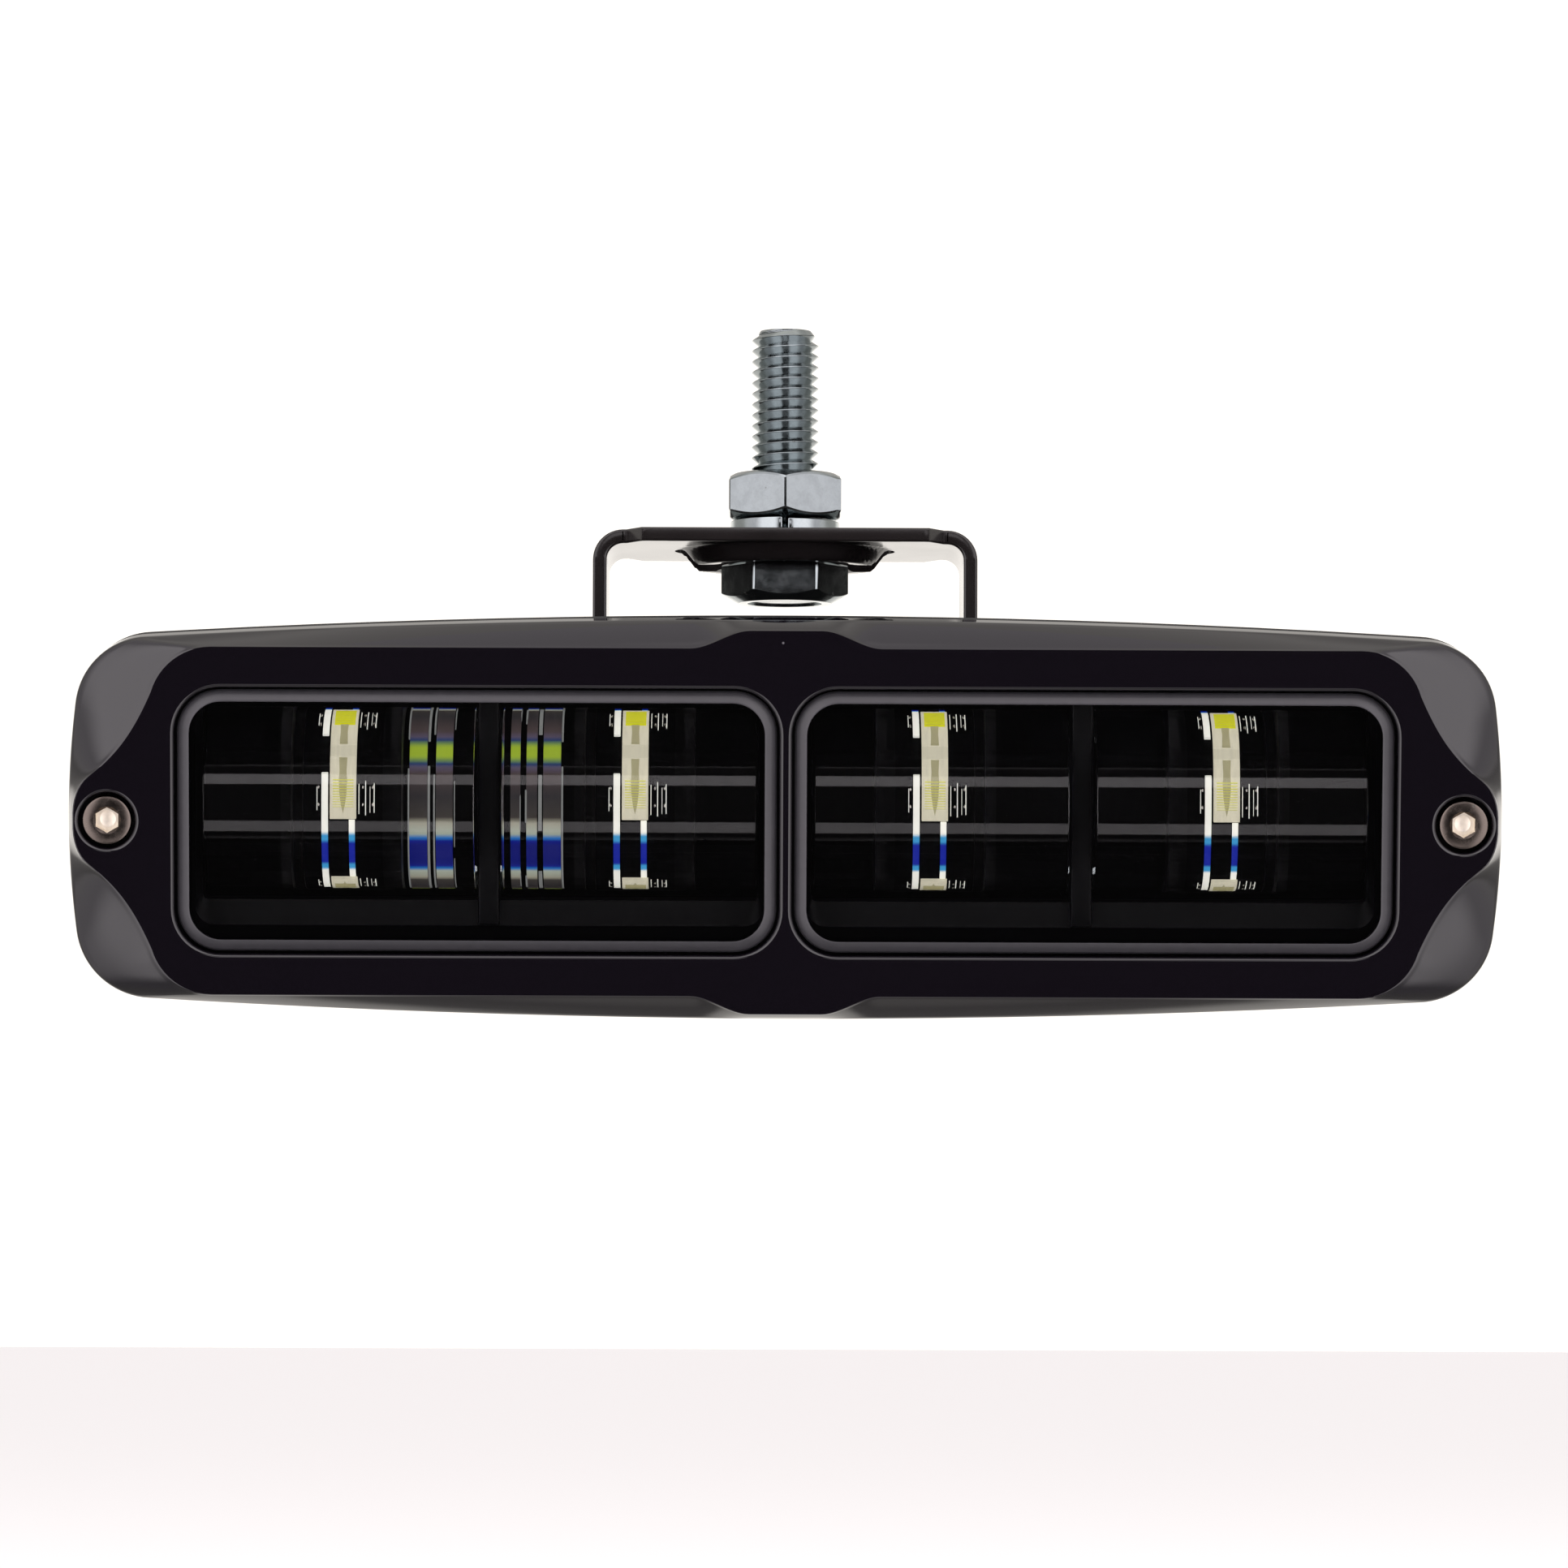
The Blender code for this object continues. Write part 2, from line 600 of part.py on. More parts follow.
def housing_gasket():
    """Flat rubber ring between bezel and housing."""
    outline = body_outline()
    low, high = GASKET_Y
    outer, inner = inset(outline, 0.6 * MM), inset(outline, 2.7 * MM)
    return loft("housing_gasket", [(outer, low), (outer, high), (inner, high), (inner, low)], rubber(), loop=True)


def rear_housing():
    """Cast housing: dish, fins, trunnion block with the driver pocket, bosses."""
    outline = body_outline()
    rings = [
        (inset(outline, 3.6 * MM), CAVITY_FLOOR_Y),
        (inset(outline, 3.0 * MM), CAVITY_FLOOR_Y - 0.8 * MM),
        (inset(outline, 2.8 * MM), HOUSING_RIM_Y),
        (inset(outline, 0.3 * MM), HOUSING_RIM_Y),
        (inset(outline, 0.3 * MM), RIM_STEP_Y[0]),
        (inset(outline, 1.2 * MM), RIM_STEP_Y[1]),
        (inset(outline, 1.4 * MM), HOUSING_CHAMFER_Y),
        (inset(outline, 4.6 * MM), HOUSING_BACK_Y),
    ]
    housing = loft("rear_housing", rings, cast_black())
    section = [
        (HOUSING_BACK_Y - 0.9 * MM, -16.0 * MM),
        (6.0 * MM, -15.0 * MM),
        (BLOCK_REAR_Y, -10.5 * MM),
        (BLOCK_REAR_Y, 10.5 * MM),
        (6.0 * MM, 15.0 * MM),
        (HOUSING_BACK_Y - 0.9 * MM, 16.0 * MM),
    ]
    combine(housing, prism_x("block", section, -BLOCK_HALF_WIDTH, BLOCK_HALF_WIDTH, cast_black()), "UNION")
    for side in (-1, 1):
        boss = cylinder(
            "boss", 2.5 * MM, HOUSING_RIM_Y + 0.4 * MM, CAVITY_FLOOR_Y + 0.1 * MM,
            cast_black(), (side * (BEZEL_SCREW_X - 0.3 * MM), 0, 0), "Y", 24,
        )
        combine(housing, boss, "UNION")
        for x in FIN_X:
            fin = [
                (HOUSING_BACK_Y - 0.8 * MM, -15.6 * MM),
                (FIN_REAR_Y - 3 * MM, -14.6 * MM),
                (FIN_REAR_Y, -12.0 * MM),
                (FIN_REAR_Y, 12.0 * MM),
                (FIN_REAR_Y - 3 * MM, 14.6 * MM),
                (HOUSING_BACK_Y - 0.8 * MM, 15.6 * MM),
            ]
            middle = side * x * MM
            low, high = middle - FIN_THICKNESS / 2, middle + FIN_THICKNESS / 2
            combine(housing, prism_x("fin", fin, low, high, cast_black()), "UNION")
    for x, z in BOARD_SCREW_AT:
        centre = (x * MM, 0, z * MM)
        stud = cylinder("stud", 2.9 * MM, HOUSING_BACK_Y - 0.7 * MM, -9.6 * MM, cast_black(), centre, "Y", 24)
        combine(housing, stud, "UNION")
        combine(housing, cylinder("tap", 1.4 * MM, -18 * MM, -11 * MM, cast_black(), centre, "Y", 24))
    half = DRIVER_CAVITY_HALF
    low, high = (-half, CAVITY_FLOOR_Y - 1 * MM, -half), (half, BLOCK_REAR_Y - 3.2 * MM, half)
    combine(housing, box("driver_pocket", low, high, cast_black()))
    for side in (-1, 1):
        centre = (side * BEZEL_SCREW_X, 0, 0)
        combine(housing, cylinder("tap", 1.6 * MM, -33 * MM, -22.5 * MM, cast_black(), centre, "Y", 24))
        ends = sorted((side * 12.2 * MM, side * 21.0 * MM))
        combine(housing, cylinder("pivot_tap", 2.6 * MM, ends[0], ends[1], cast_black(), (0, 0, 0), "X", 32))
    rear = BLOCK_REAR_Y
    combine(housing, cylinder("gland_hole", 4.3 * MM, rear - 5 * MM, rear + 1 * MM, cast_black(), (GLAND_X, 0, 0), "Y", 32))
    return combine(
        housing, cylinder("vent_hole", 2.2 * MM, rear - 5 * MM, rear + 1 * MM, cast_black(), (VENT_X, 0, 0), "Y", 24)
    )


# ------------------------------------------------- lamp: windows and optics
def window_pane(side, label):
    """Clear pane with a bevelled front edge."""
    x = side * WINDOW_X
    rings = [
        (rounded_rect(x, 66.8 * MM, 29.3 * MM, 4.8 * MM), PANE_BACK_Y),
        (rounded_rect(x, 66.8 * MM, 29.3 * MM, 4.8 * MM), PANE_BEVEL_Y),
        (rounded_rect(x, 64.2 * MM, 26.9 * MM, 3.6 * MM), PANE_FRONT_Y),
    ]
    return loft("window_pane_" + label, rings, clear_pane())


def pane_seal(side, label):
    """Bead between pane and ledge."""
    x = side * WINDOW_X
    outer = rounded_rect(x, 66.8 * MM, 29.3 * MM, 4.8 * MM)
    inner = rounded_rect(x, 64.9 * MM, 27.6 * MM, 3.9 * MM)
    low, high = PANE_BACK_Y + 0.05 * MM, LEDGE_Y - 0.05 * MM
    return loft("pane_seal_" + label, [(outer, low), (outer, high), (inner, high), (inner, low)], rubber(), loop=True)


def sag(height, surface):
    """Depth of a lens surface behind its apex."""
    radius, conic, fourth, sixth = surface
    rise = height / MM
    curve = rise * rise / radius / (1 + math.sqrt(1 - (1 + conic) * (rise / radius) ** 2))
    return (curve + fourth * rise**4 + sixth * rise**6) * MM


def raised(outline, lift):
    """Move an XZ outline upwards."""
    return [(x, z + lift) for x, z in outline]


def cylinder_lens(number):
    """Thick bar lens: strongly curved front, slightly hollow back, straight along X."""
    low, high = LENS_SPANS[number]
    half = LENS_HALF_HEIGHT
    back_apex = LENS_APEX_Y + sag(half, LENS_FRONT) + LENS_EDGE + sag(half, LENS_BACK)
    section = []
    steps = 28
    for step in range(steps + 1):
        height = half * math.sin(math.pi / 2 * (2 * step / steps - 1))
        section.append((LENS_APEX_Y + sag(height, LENS_FRONT), height + LENS_LIFT))
    for step in range(13):
        height = half * (1 - 2 * step / 12)
        section.append((back_apex - sag(height, LENS_BACK), height + LENS_LIFT))
    name = "cylinder_lens_" + str(number + 1)
    return prism_x(name, section, low * MM, high * MM, clear_pane())


def optic_frame(side, label):
    """Black carrier behind one window: flared opening and a bar between lenses."""
    front, back = FRAME_Y
    x = side * WINDOW_X
    opening = raised(rounded_rect(side * 34.2 * MM, 62.6 * MM, 22.2 * MM, 0.6 * MM), LENS_LIFT)
    rings = [
        (rounded_rect(x, 66.6 * MM, 29.8 * MM, 4.0 * MM), front),
        (rounded_rect(x, 66.6 * MM, 29.8 * MM, 4.0 * MM), back),
        (opening, back),
        (opening, -29.6 * MM),
        (rounded_rect(x, CLEAR_W, CLEAR_H, CLEAR_R), front),
    ]
    frame = loft("optic_frame_" + label, rings, matt_black(), loop=True)
    middle = side * 33.3 * MM
    low, high = (middle - 1.2 * MM, -31.0 * MM, -12.5 * MM), (middle + 1.2 * MM, back - 0.2 * MM, 12.8 * MM)
    return combine(frame, box("bar", low, high, matt_black()), "UNION")


def led_shroud(number):
    """Black hood round one light source, open to the lens."""
    x = LED_X[number] * MM
    front, back = SHROUD_Y
    floor = back - 1.2 * MM
    outer = rounded_rect(x, 13.6 * MM, 19.0 * MM, 1.5 * MM)
    middle = rounded_rect(x, 9.0 * MM, 7.0 * MM, 0.8 * MM)
    inner = rounded_rect(x, 11.2 * MM, 16.6 * MM, 1.0 * MM)
    rings = [(outer, front), (outer, back), (middle, back), (middle, floor), (inner, floor), (inner, front)]
    return loft("led_shroud_" + str(number + 1), rings, matt_black(), loop=True)


def led(number):
    """Surface-mount light source: ceramic base with a raised square emitter."""
    x = LED_X[number] * MM
    front, back = LED_Y
    rings = [
        (raised(rounded_rect(x, 3.2 * MM, 2.2 * MM, 0.2 * MM, 3), LED_LIFT), back),
        (raised(rounded_rect(x, 3.2 * MM, 2.2 * MM, 0.2 * MM, 3), LED_LIFT), back - 0.45 * MM),
        (raised(rounded_rect(x, 2.8 * MM, 1.9 * MM, 0.2 * MM, 3), LED_LIFT), back - 0.5 * MM),
        (raised(rounded_rect(x, 2.2 * MM, 1.6 * MM, 0.2 * MM, 3), LED_LIFT), front),
    ]
    phosphor = material("led_phosphor", (0.95, 0.72, 0.12), 0.5, emission=0.6)
    return loft("led_" + str(number + 1), rings, phosphor)


def led_board():
    """Metal-core board carrying the four light sources."""
    low, high = BOARD_Y
    solder_mask = material("white_solder_mask", (0.03, 0.03, 0.03), 0.5)
    outline = rounded_rect(0.0, 137.0 * MM, 26.0 * MM, 3.0 * MM)
    board = loft("led_board", [(outline, low), (outline, high)], solder_mask)
    for x, z in BOARD_SCREW_AT:
        combine(board, cylinder("hole", 1.5 * MM, -25 * MM, -12 * MM, solder_mask, (x * MM, 0, z * MM), "Y", 24))
    return board


def thermal_pad():
    """Soft heat-transfer pad under the board, open over the driver pocket."""
    low, high = PAD_Y
    grey = material("grey_thermal_pad", (0.30, 0.33, 0.36), 0.8)
    outline = rounded_rect(0.0, 134.0 * MM, 25.0 * MM, 3.0 * MM)
    hole = rounded_rect(0.0, 22.4 * MM, 22.4 * MM, 1.0 * MM)
    rings = [(outline, low), (outline, high), (hole, high), (hole, low)]
    pad = loft("thermal_pad", rings, grey, loop=True)
    for x, z in BOARD_SCREW_AT:
        combine(pad, cylinder("hole", 1.8 * MM, -25 * MM, -12 * MM, grey, (x * MM, 0, z * MM), "Y", 24))
    return pad


# ------------------------------------------------------------- lamp: driver
def driver_board():
    """Small circuit board in the trunnion block's pocket."""
    green = material("green_circuit_board", (0.03, 0.16, 0.07), 0.45)
    return box("driver_board", (-10.2 * MM, -3.0 * MM, -10.2 * MM), (10.2 * MM, -1.4 * MM, 10.2 * MM), green)


def driver_inductor():
    """Shielded power inductor on the driver board."""
    ferrite = material("dark_ferrite", (0.06, 0.06, 0.065), 0.6)
    outline = rounded_rect(4.6 * MM, 8.0 * MM, 8.0 * MM, 1.5 * MM)
    return loft("driver_inductor", [(outline, -1.35 * MM), (outline, 3.4 * MM)], ferrite)


def driver_capacitor():
    """Electrolytic capacitor standing on the driver board."""
    can = material("aluminium_can", (0.75, 0.76, 0.78), 0.3, 1.0)
    profile = [
        (0, -1.35 * MM), (3.1 * MM, -1.35 * MM), (3.15 * MM, 0.4 * MM), (2.9 * MM, 0.8 * MM),
        (3.15 * MM, 1.2 * MM), (3.15 * MM, 5.3 * MM), (2.8 * MM, 5.8 * MM), (0, 5.8 * MM),
    ]
    return lathe("driver_capacitor", profile, can, (-5.2 * MM, 0, -3.4 * MM), "Y", 32)


def board_connector():
    """Board-to-board connector from the driver to the light-source board."""
    nylon = material("black_nylon", (0.02, 0.02, 0.02), 0.5)
    low, high = (-5.0 * MM, -17.35 * MM, 5.0 * MM), (5.0 * MM, -3.05 * MM, 8.0 * MM)
    return box("board_connector", low, high, nylon)


# ---------------------------------------------------------- lamp: fasteners
def socket_screw(name, head_d, head, shank_d, tip, socket, mat, centre, axis, direction):
    """Socket-head screw along an axis; direction is the way the tip points."""
    face, seat = head
    depth = abs(seat - face)
    edge = 0.12 * head_d
    ends = [
        (0, face),
        (head_d / 2 - edge, face),
        (head_d / 2, face + direction * 0.8 * edge),
        (head_d / 2, seat),
        (shank_d / 2, seat),
        (shank_d / 2, tip - direction * 0.4 * MM),
        (shank_d / 2 - 0.4 * MM, tip),
        (0, tip),
    ]
    screw = lathe(name, ends, mat, centre, axis, 32)
    low, high = sorted((face - direction * 1 * MM, face + direction * 0.55 * depth))
    return combine(screw, hexagon("socket", socket, low, high, mat, centre, axis))


def bezel_screw(side, label):
    """Stainless socket screw through the bezel's end recess."""
    return socket_screw(
        "bezel_screw_" + label, 5.5 * MM, (-38.75 * MM, -35.75 * MM), 2.9 * MM, -23.2 * MM,
        2.5 * MM, stainless(), (side * BEZEL_SCREW_X, 0, 0), "Y", 1,
    )


def board_screw(number):
    """Small screw holding the light-source board to the housing."""
    x, z = BOARD_SCREW_AT[number]
    return socket_screw(
        "board_screw_" + str(number + 1), 4.4 * MM, (-20.8 * MM, -18.95 * MM), 2.3 * MM, -11.6 * MM,
        2.0 * MM, zinc(), (x * MM, 0, z * MM), "Y", 1,
    )


def pivot_screw(side, label):
    """Button-head socket screw that the lamp tilts on."""
    return socket_screw(
        "pivot_screw_" + label, 9.5 * MM, (side * 26.1 * MM, side * 23.35 * MM), 4.8 * MM, side * 13.0 * MM,
        3.0 * MM, stainless(), (0, 0, 0), "X", -side,
    )


def washer_on_x(name, bore_d, outer_d, first, second, mat):
    """Plain washer round the tilt axis."""
    low, high = sorted((first, second))
    profile = [(bore_d / 2, low), (outer_d / 2, low), (outer_d / 2, high), (bore_d / 2, high)]
    return lathe(name, profile, mat, (0, 0, 0), "X", 32)


def pivot_washer(side, label):
    """Steel washer under the pivot screw's head."""
    return washer_on_x("pivot_washer_" + label, 5.4 * MM, 11.0 * MM, side * 22.25 * MM, side * 23.25 * MM, stainless())


def friction_washer(side, label):
    """Nylon washer between the bracket's leg and the trunnion block."""
    nylon = material("black_nylon", (0.02, 0.02, 0.02), 0.5)
    return washer_on_x("friction_washer_" + label, 5.4 * MM, 13.0 * MM, side * 19.3 * MM, side * 20.4 * MM, nylon)


# -------------------------------------------------------- lamp: rear fittings
def cable_gland():
    """Gland body screwed into the block's rear wall."""
    rear = BLOCK_REAR_Y
    profile = [
        (2.5 * MM, rear - 3.0 * MM),
        (4.1 * MM, rear - 3.0 * MM),
        (4.1 * MM, rear + 0.1 * MM),
        (6.2 * MM, rear + 0.1 * MM),
        (6.2 * MM, rear + 2.4 * MM),
        (3.8 * MM, rear + 2.8 * MM),
        (3.8 * MM, rear + 7.0 * MM),
        (2.5 * MM, rear + 7.0 * MM),
    ]
    nylon = material("black_nylon", (0.02, 0.02, 0.02), 0.5)
    return lathe("cable_gland", profile, nylon, (GLAND_X, 0, 0), "Y", 32)


def gland_nut():
    """Dome nut that clamps the gland's seal."""
    rear = BLOCK_REAR_Y
    nylon = material("black_nylon", (0.02, 0.02, 0.02), 0.5)
    centre = (GLAND_X, 0, 0)
    nut = hexagon("gland_nut", 11.0 * MM, rear + 3.0 * MM, rear + 9.0 * MM, nylon, centre, "Y")
    dome = [
        (4.0 * MM, rear + 2.0 * MM),
        (6.5 * MM, rear + 2.0 * MM),
        (6.5 * MM, rear + 6.0 * MM),
        (5.4 * MM, rear + 7.8 * MM),
        (3.6 * MM, rear + 9.0 * MM),
        (2.6 * MM, rear + 9.0 * MM),
        (2.6 * MM, rear + 7.3 * MM),
        (4.0 * MM, rear + 7.3 * MM),
    ]
    return combine(nut, lathe("dome", dome, nylon, centre, "Y", 32), "INTERSECT")


def breather_vent():
    """Push-in vent plug beside the gland."""
    rear = BLOCK_REAR_Y
    profile = [
        (0, rear - 3.0 * MM),
        (2.0 * MM, rear - 3.0 * MM),
        (2.0 * MM, rear + 0.1 * MM),
        (4.0 * MM, rear + 0.1 * MM),
        (4.0 * MM, rear + 1.4 * MM),
        (3.4 * MM, rear + 2.0 * MM),
        (0, rear + 2.0 * MM),
    ]
    grey = material("grey_vent_plastic", (0.07, 0.07, 0.075), 0.5)
    return lathe("breather_vent", profile, grey, (VENT_X, 0, 0), "Y", 32)


# ------------------------------------------------------------------ assembly
def finish_shading(obj):
    """Smooth the round faces and keep the real edges sharp."""
    mesh = obj.data
    mesh.polygons.foreach_set("use_smooth", [True] * len(mesh.polygons))
    mesh.set_sharp_from_angle(angle=math.radians(32.0))


def lamp_pieces():
    """Build every piece that tilts with the lamp."""
    pieces = [front_bezel(), housing_gasket(), rear_housing(), led_board(), thermal_pad()]
    for side, label in ((-1, "left"), (1, "right")):
        pieces += [window_pane(side, label), pane_seal(side, label), optic_frame(side, label)]
        pieces += [bezel_screw(side, label), pivot_screw(side, label)]
        pieces += [pivot_washer(side, label), friction_washer(side, label)]
    for number in range(4):
        pieces += [cylinder_lens(number), led_shroud(number), led(number), board_screw(number)]
    pieces += [driver_board(), driver_inductor(), driver_capacitor(), board_connector()]
    pieces += [cable_gland(), gland_nut(), breather_vent()]
    return pieces


def main():
    """Build the fixed hardware, the bracket and the tilted lamp."""
    clear_scene()
    fixed = [mounting_bolt(), flat_washer(), spring_washer(), mounting_nut(), mounting_bracket()]
    lamp = lamp_pieces()
    pivot = bpy.data.objects.new("lamp_pivot", None)
    bpy.context.scene.collection.objects.link(pivot)
    pivot.location = (0.0, 0.0, -PIVOT_DROP)
    pivot.rotation_euler = (REST_TILT, 0.0, 0.0)
    for obj in lamp:
        obj.parent = pivot
        obj.matrix_parent_inverse = Matrix.Identity(4)
    for obj in fixed + lamp:
        finish_shading(obj)
    bpy.context.view_layer.update()


main()
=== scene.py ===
"""Picture model of a twin-window LED fog light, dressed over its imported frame.

Everything is in metres in the row frame: +Z up along the mounting bolt, the
lamp looks towards -Y, and the origin is at the bracket plate's top face.
Lamp pieces are shaped in the lamp's own frame, whose origin is on the tilt
axis, and are then placed by LAMP_REST.
"""

from __future__ import annotations

import json
import logging
import math
from contextlib import contextmanager
from dataclasses import dataclass
from enum import Enum
from typing import Any, Callable, Iterable, Iterator, Sequence

import bpy
from mathutils import Matrix, Vector

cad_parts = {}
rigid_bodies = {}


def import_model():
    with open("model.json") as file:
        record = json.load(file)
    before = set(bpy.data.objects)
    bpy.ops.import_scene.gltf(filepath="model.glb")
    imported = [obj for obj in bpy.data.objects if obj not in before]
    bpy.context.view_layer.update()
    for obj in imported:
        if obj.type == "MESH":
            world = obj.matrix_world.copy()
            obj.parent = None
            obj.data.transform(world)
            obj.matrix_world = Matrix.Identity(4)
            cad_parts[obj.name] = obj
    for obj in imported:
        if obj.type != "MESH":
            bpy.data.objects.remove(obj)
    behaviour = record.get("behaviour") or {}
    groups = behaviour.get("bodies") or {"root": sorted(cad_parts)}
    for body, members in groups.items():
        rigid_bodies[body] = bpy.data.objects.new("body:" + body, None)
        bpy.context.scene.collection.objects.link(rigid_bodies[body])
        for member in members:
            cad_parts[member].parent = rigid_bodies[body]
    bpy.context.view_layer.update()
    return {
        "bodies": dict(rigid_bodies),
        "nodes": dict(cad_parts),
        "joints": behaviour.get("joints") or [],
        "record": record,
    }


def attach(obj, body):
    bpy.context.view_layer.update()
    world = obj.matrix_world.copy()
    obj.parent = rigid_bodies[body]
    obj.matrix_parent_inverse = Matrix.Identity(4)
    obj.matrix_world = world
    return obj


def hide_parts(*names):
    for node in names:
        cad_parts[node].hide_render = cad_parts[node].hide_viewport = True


LOG = logging.getLogger("fog_light")
MM = 0.001
TILT_DROP = 28.8 * MM
REST_TILT = math.radians(10.0)
LAMP_REST = Matrix.Translation((0.0, 0.0, -TILT_DROP)) @ Matrix.Rotation(REST_TILT, 4, "X")
SOURCE_DEPTH = 19.2 * MM
BOARD_LEVEL = -TILT_DROP - SOURCE_DEPTH * math.sin(REST_TILT)
ORIGIN = (0.0, 0.0, 0.0)

Point2 = tuple[float, float]
Outline = list[Point2]
Colour = tuple[float, float, float]
Surface = tuple[float, float, float, float]


class Side(Enum):
    """Which half of the lamp, as seen from the front."""

    LEFT = -1
    RIGHT = 1

    @property
    def label(self) -> str:
        """Lower-case word used in piece names."""
        return self.name.lower()


class Body(Enum):
    """Rigid bodies of the frame."""

    HARDWARE = "mounting_hardware"
    BRACKET = "bracket"
    LAMP = "lamp"

    @property
    def place(self) -> Matrix:
        """Matrix from the body's own frame to the row frame."""
        return LAMP_REST if self is Body.LAMP else Matrix.Identity(4)


class Axis(Enum):
    """Direction that a turned or prismatic piece runs along."""

    X = "X"
    Y = "Y"
    Z = "Z"

    def from_z(self) -> Matrix:
        """Return the rotation that carries +Z onto this axis."""
        if self is Axis.X:
            return Matrix.Rotation(math.pi / 2, 4, "Y")
        if self is Axis.Y:
            return Matrix.Rotation(-math.pi / 2, 4, "X")
        return Matrix.Identity(4)


class Join(Enum):
    """How one solid acts on another."""

    CUT = "DIFFERENCE"
    WELD = "UNION"
    COMMON = "INTERSECT"


# --------------------------------------------------------------------- shop
class Shop:
    """Hand tools: a primitive, edit-mode operators, then applied modifiers."""

    @staticmethod
    def put_down() -> None:
        """Leave edit mode and deselect everything."""
        active = bpy.context.object
        if active is not None and active.mode != "OBJECT":
            bpy.ops.object.mode_set(mode="OBJECT")
        bpy.ops.object.select_all(action="DESELECT")

    @staticmethod
    def pick_up(obj: bpy.types.Object) -> None:
        """Make obj the only selected and the active object.

        Args:
            obj: The object to work on.
        """
        Shop.put_down()
        obj.select_set(True)
        bpy.context.view_layer.objects.active = obj

    @staticmethod
    @contextmanager
    def editing(obj: bpy.types.Object, everything: bool = True) -> Iterator[None]:
        """Work on obj in edit mode.

        Args:
            obj: The object to work on.
            everything: True to start with all its vertices selected.
        """
        Shop.pick_up(obj)
        bpy.ops.object.mode_set(mode="EDIT")
        bpy.ops.mesh.select_mode(type="VERT")
        if everything:
            bpy.ops.mesh.select_all(action="SELECT")
        yield
        bpy.ops.object.mode_set(mode="OBJECT")

    @staticmethod
    def edge_loop(points: Sequence[Sequence[float]]) -> bpy.types.Object:
        """Bend a circle primitive into a closed loop through the points.

        Args:
            points: Corner positions in order.

        Returns:
            The loop object, without faces.
        """
        Shop.put_down()
        bpy.ops.mesh.primitive_circle_add(vertices=len(points), radius=MM)
        loop = bpy.context.object
        for vertex, place in zip(loop.data.vertices, points):
            vertex.co = place
        return loop

    @staticmethod
    def skin(
        rings: Sequence[Sequence[Sequence[float]]],
        closed: bool = False,
    ) -> bpy.types.Object:
        """Extrude a loop from ring to ring and close both ends or join them.

        Args:
            rings: Loops with equal numbers of points, from first to last.
            closed: True to join the last ring to the first one.

        Returns:
            The closed solid.
        """
        solid = Shop.edge_loop(rings[0])
        count = len(rings[0])
        following = list(rings[1:]) + ([rings[0]] if closed else [])
        for step, ring in enumerate(following):
            with Shop.editing(solid, everything=step == 0):
                bpy.ops.mesh.extrude_edges_move()
            vertices = solid.data.vertices
            start = count * (step + 1)
            for index, place in enumerate(ring):
                vertices[start + index].co = place
        if not closed:
            total = count * len(rings)
            for low in (0, total - count):
                Shop.cap(solid, range(low, low + count))
        return Shop.tidy(solid)

    @staticmethod
    def cap(solid: bpy.types.Object, indices: Iterable[int]) -> None:
        """Fill the loop of the given vertices with one face.

        Args:
            solid: The mesh object.
            indices: Vertices of the open loop.
        """
        with Shop.editing(solid):
            bpy.ops.mesh.select_all(action="DESELECT")
        for index in indices:
            solid.data.vertices[index].select = True
        with Shop.editing(solid, everything=False):
            bpy.ops.mesh.edge_face_add()

    @staticmethod
    def tidy(solid: bpy.types.Object) -> bpy.types.Object:
        """Merge doubles, drop loose bits and turn the faces outwards.

        Args:
            solid: The mesh object.

        Returns:
            The same object.
        """
        with Shop.editing(solid):
            bpy.ops.mesh.remove_doubles(threshold=2e-6)
            bpy.ops.mesh.dissolve_degenerate(threshold=1e-7)
            bpy.ops.mesh.delete_loose()
            bpy.ops.mesh.select_all(action="SELECT")
            bpy.ops.mesh.normals_make_consistent(inside=False)
        return solid

    @staticmethod
    def turned(
        profile: Sequence[Point2],
        axis: Axis = Axis.Z,
        centre: Sequence[float] = ORIGIN,
        steps: int = 72,
    ) -> bpy.types.Object:
        """Spin a closed (radius, height) profile into a turned solid.

        Args:
            profile: Corners of the half section, in order.
            axis: The axis of the piece.
            centre: A point on that axis, from which heights count.
            steps: Number of facets round the piece.

        Returns:
            The turned solid.
        """
        solid = Shop.edge_loop([(radius, 0.0, height) for radius, height in profile])
        with Shop.editing(solid):
            bpy.ops.mesh.spin(steps=steps, angle=2 * math.pi, center=ORIGIN, axis=(0, 0, 1))
        Shop.tidy(solid)
        solid.data.transform(Matrix.Translation(centre) @ axis.from_z())
        return solid

    @staticmethod
    def hexagon(
        flats: float,
        low: float,
        high: float,
        axis: Axis = Axis.Z,
        centre: Sequence[float] = ORIGIN,
        turn: float = 0.0,
    ) -> bpy.types.Object:
        """Six-sided prism, a corner towards the front unless turned.

        Args:
            flats: Width across flats.
            low: Start along the axis.
            high: End along the axis.
            axis: The axis of the prism.
            centre: A point on the axis.
            turn: Rotation about the axis in radians.

        Returns:
            The prism.
        """
        Shop.put_down()
        bpy.ops.mesh.primitive_cylinder_add(
            vertices=6,
            radius=across_corners(flats) / 2,
            depth=high - low,
            location=(0, 0, (low + high) / 2),
        )
        prism = Shop.bake_place(bpy.context.object)
        place = Matrix.Translation(centre) @ axis.from_z() @ Matrix.Rotation(turn, 4, "Z")
        prism.data.transform(place)
        return prism

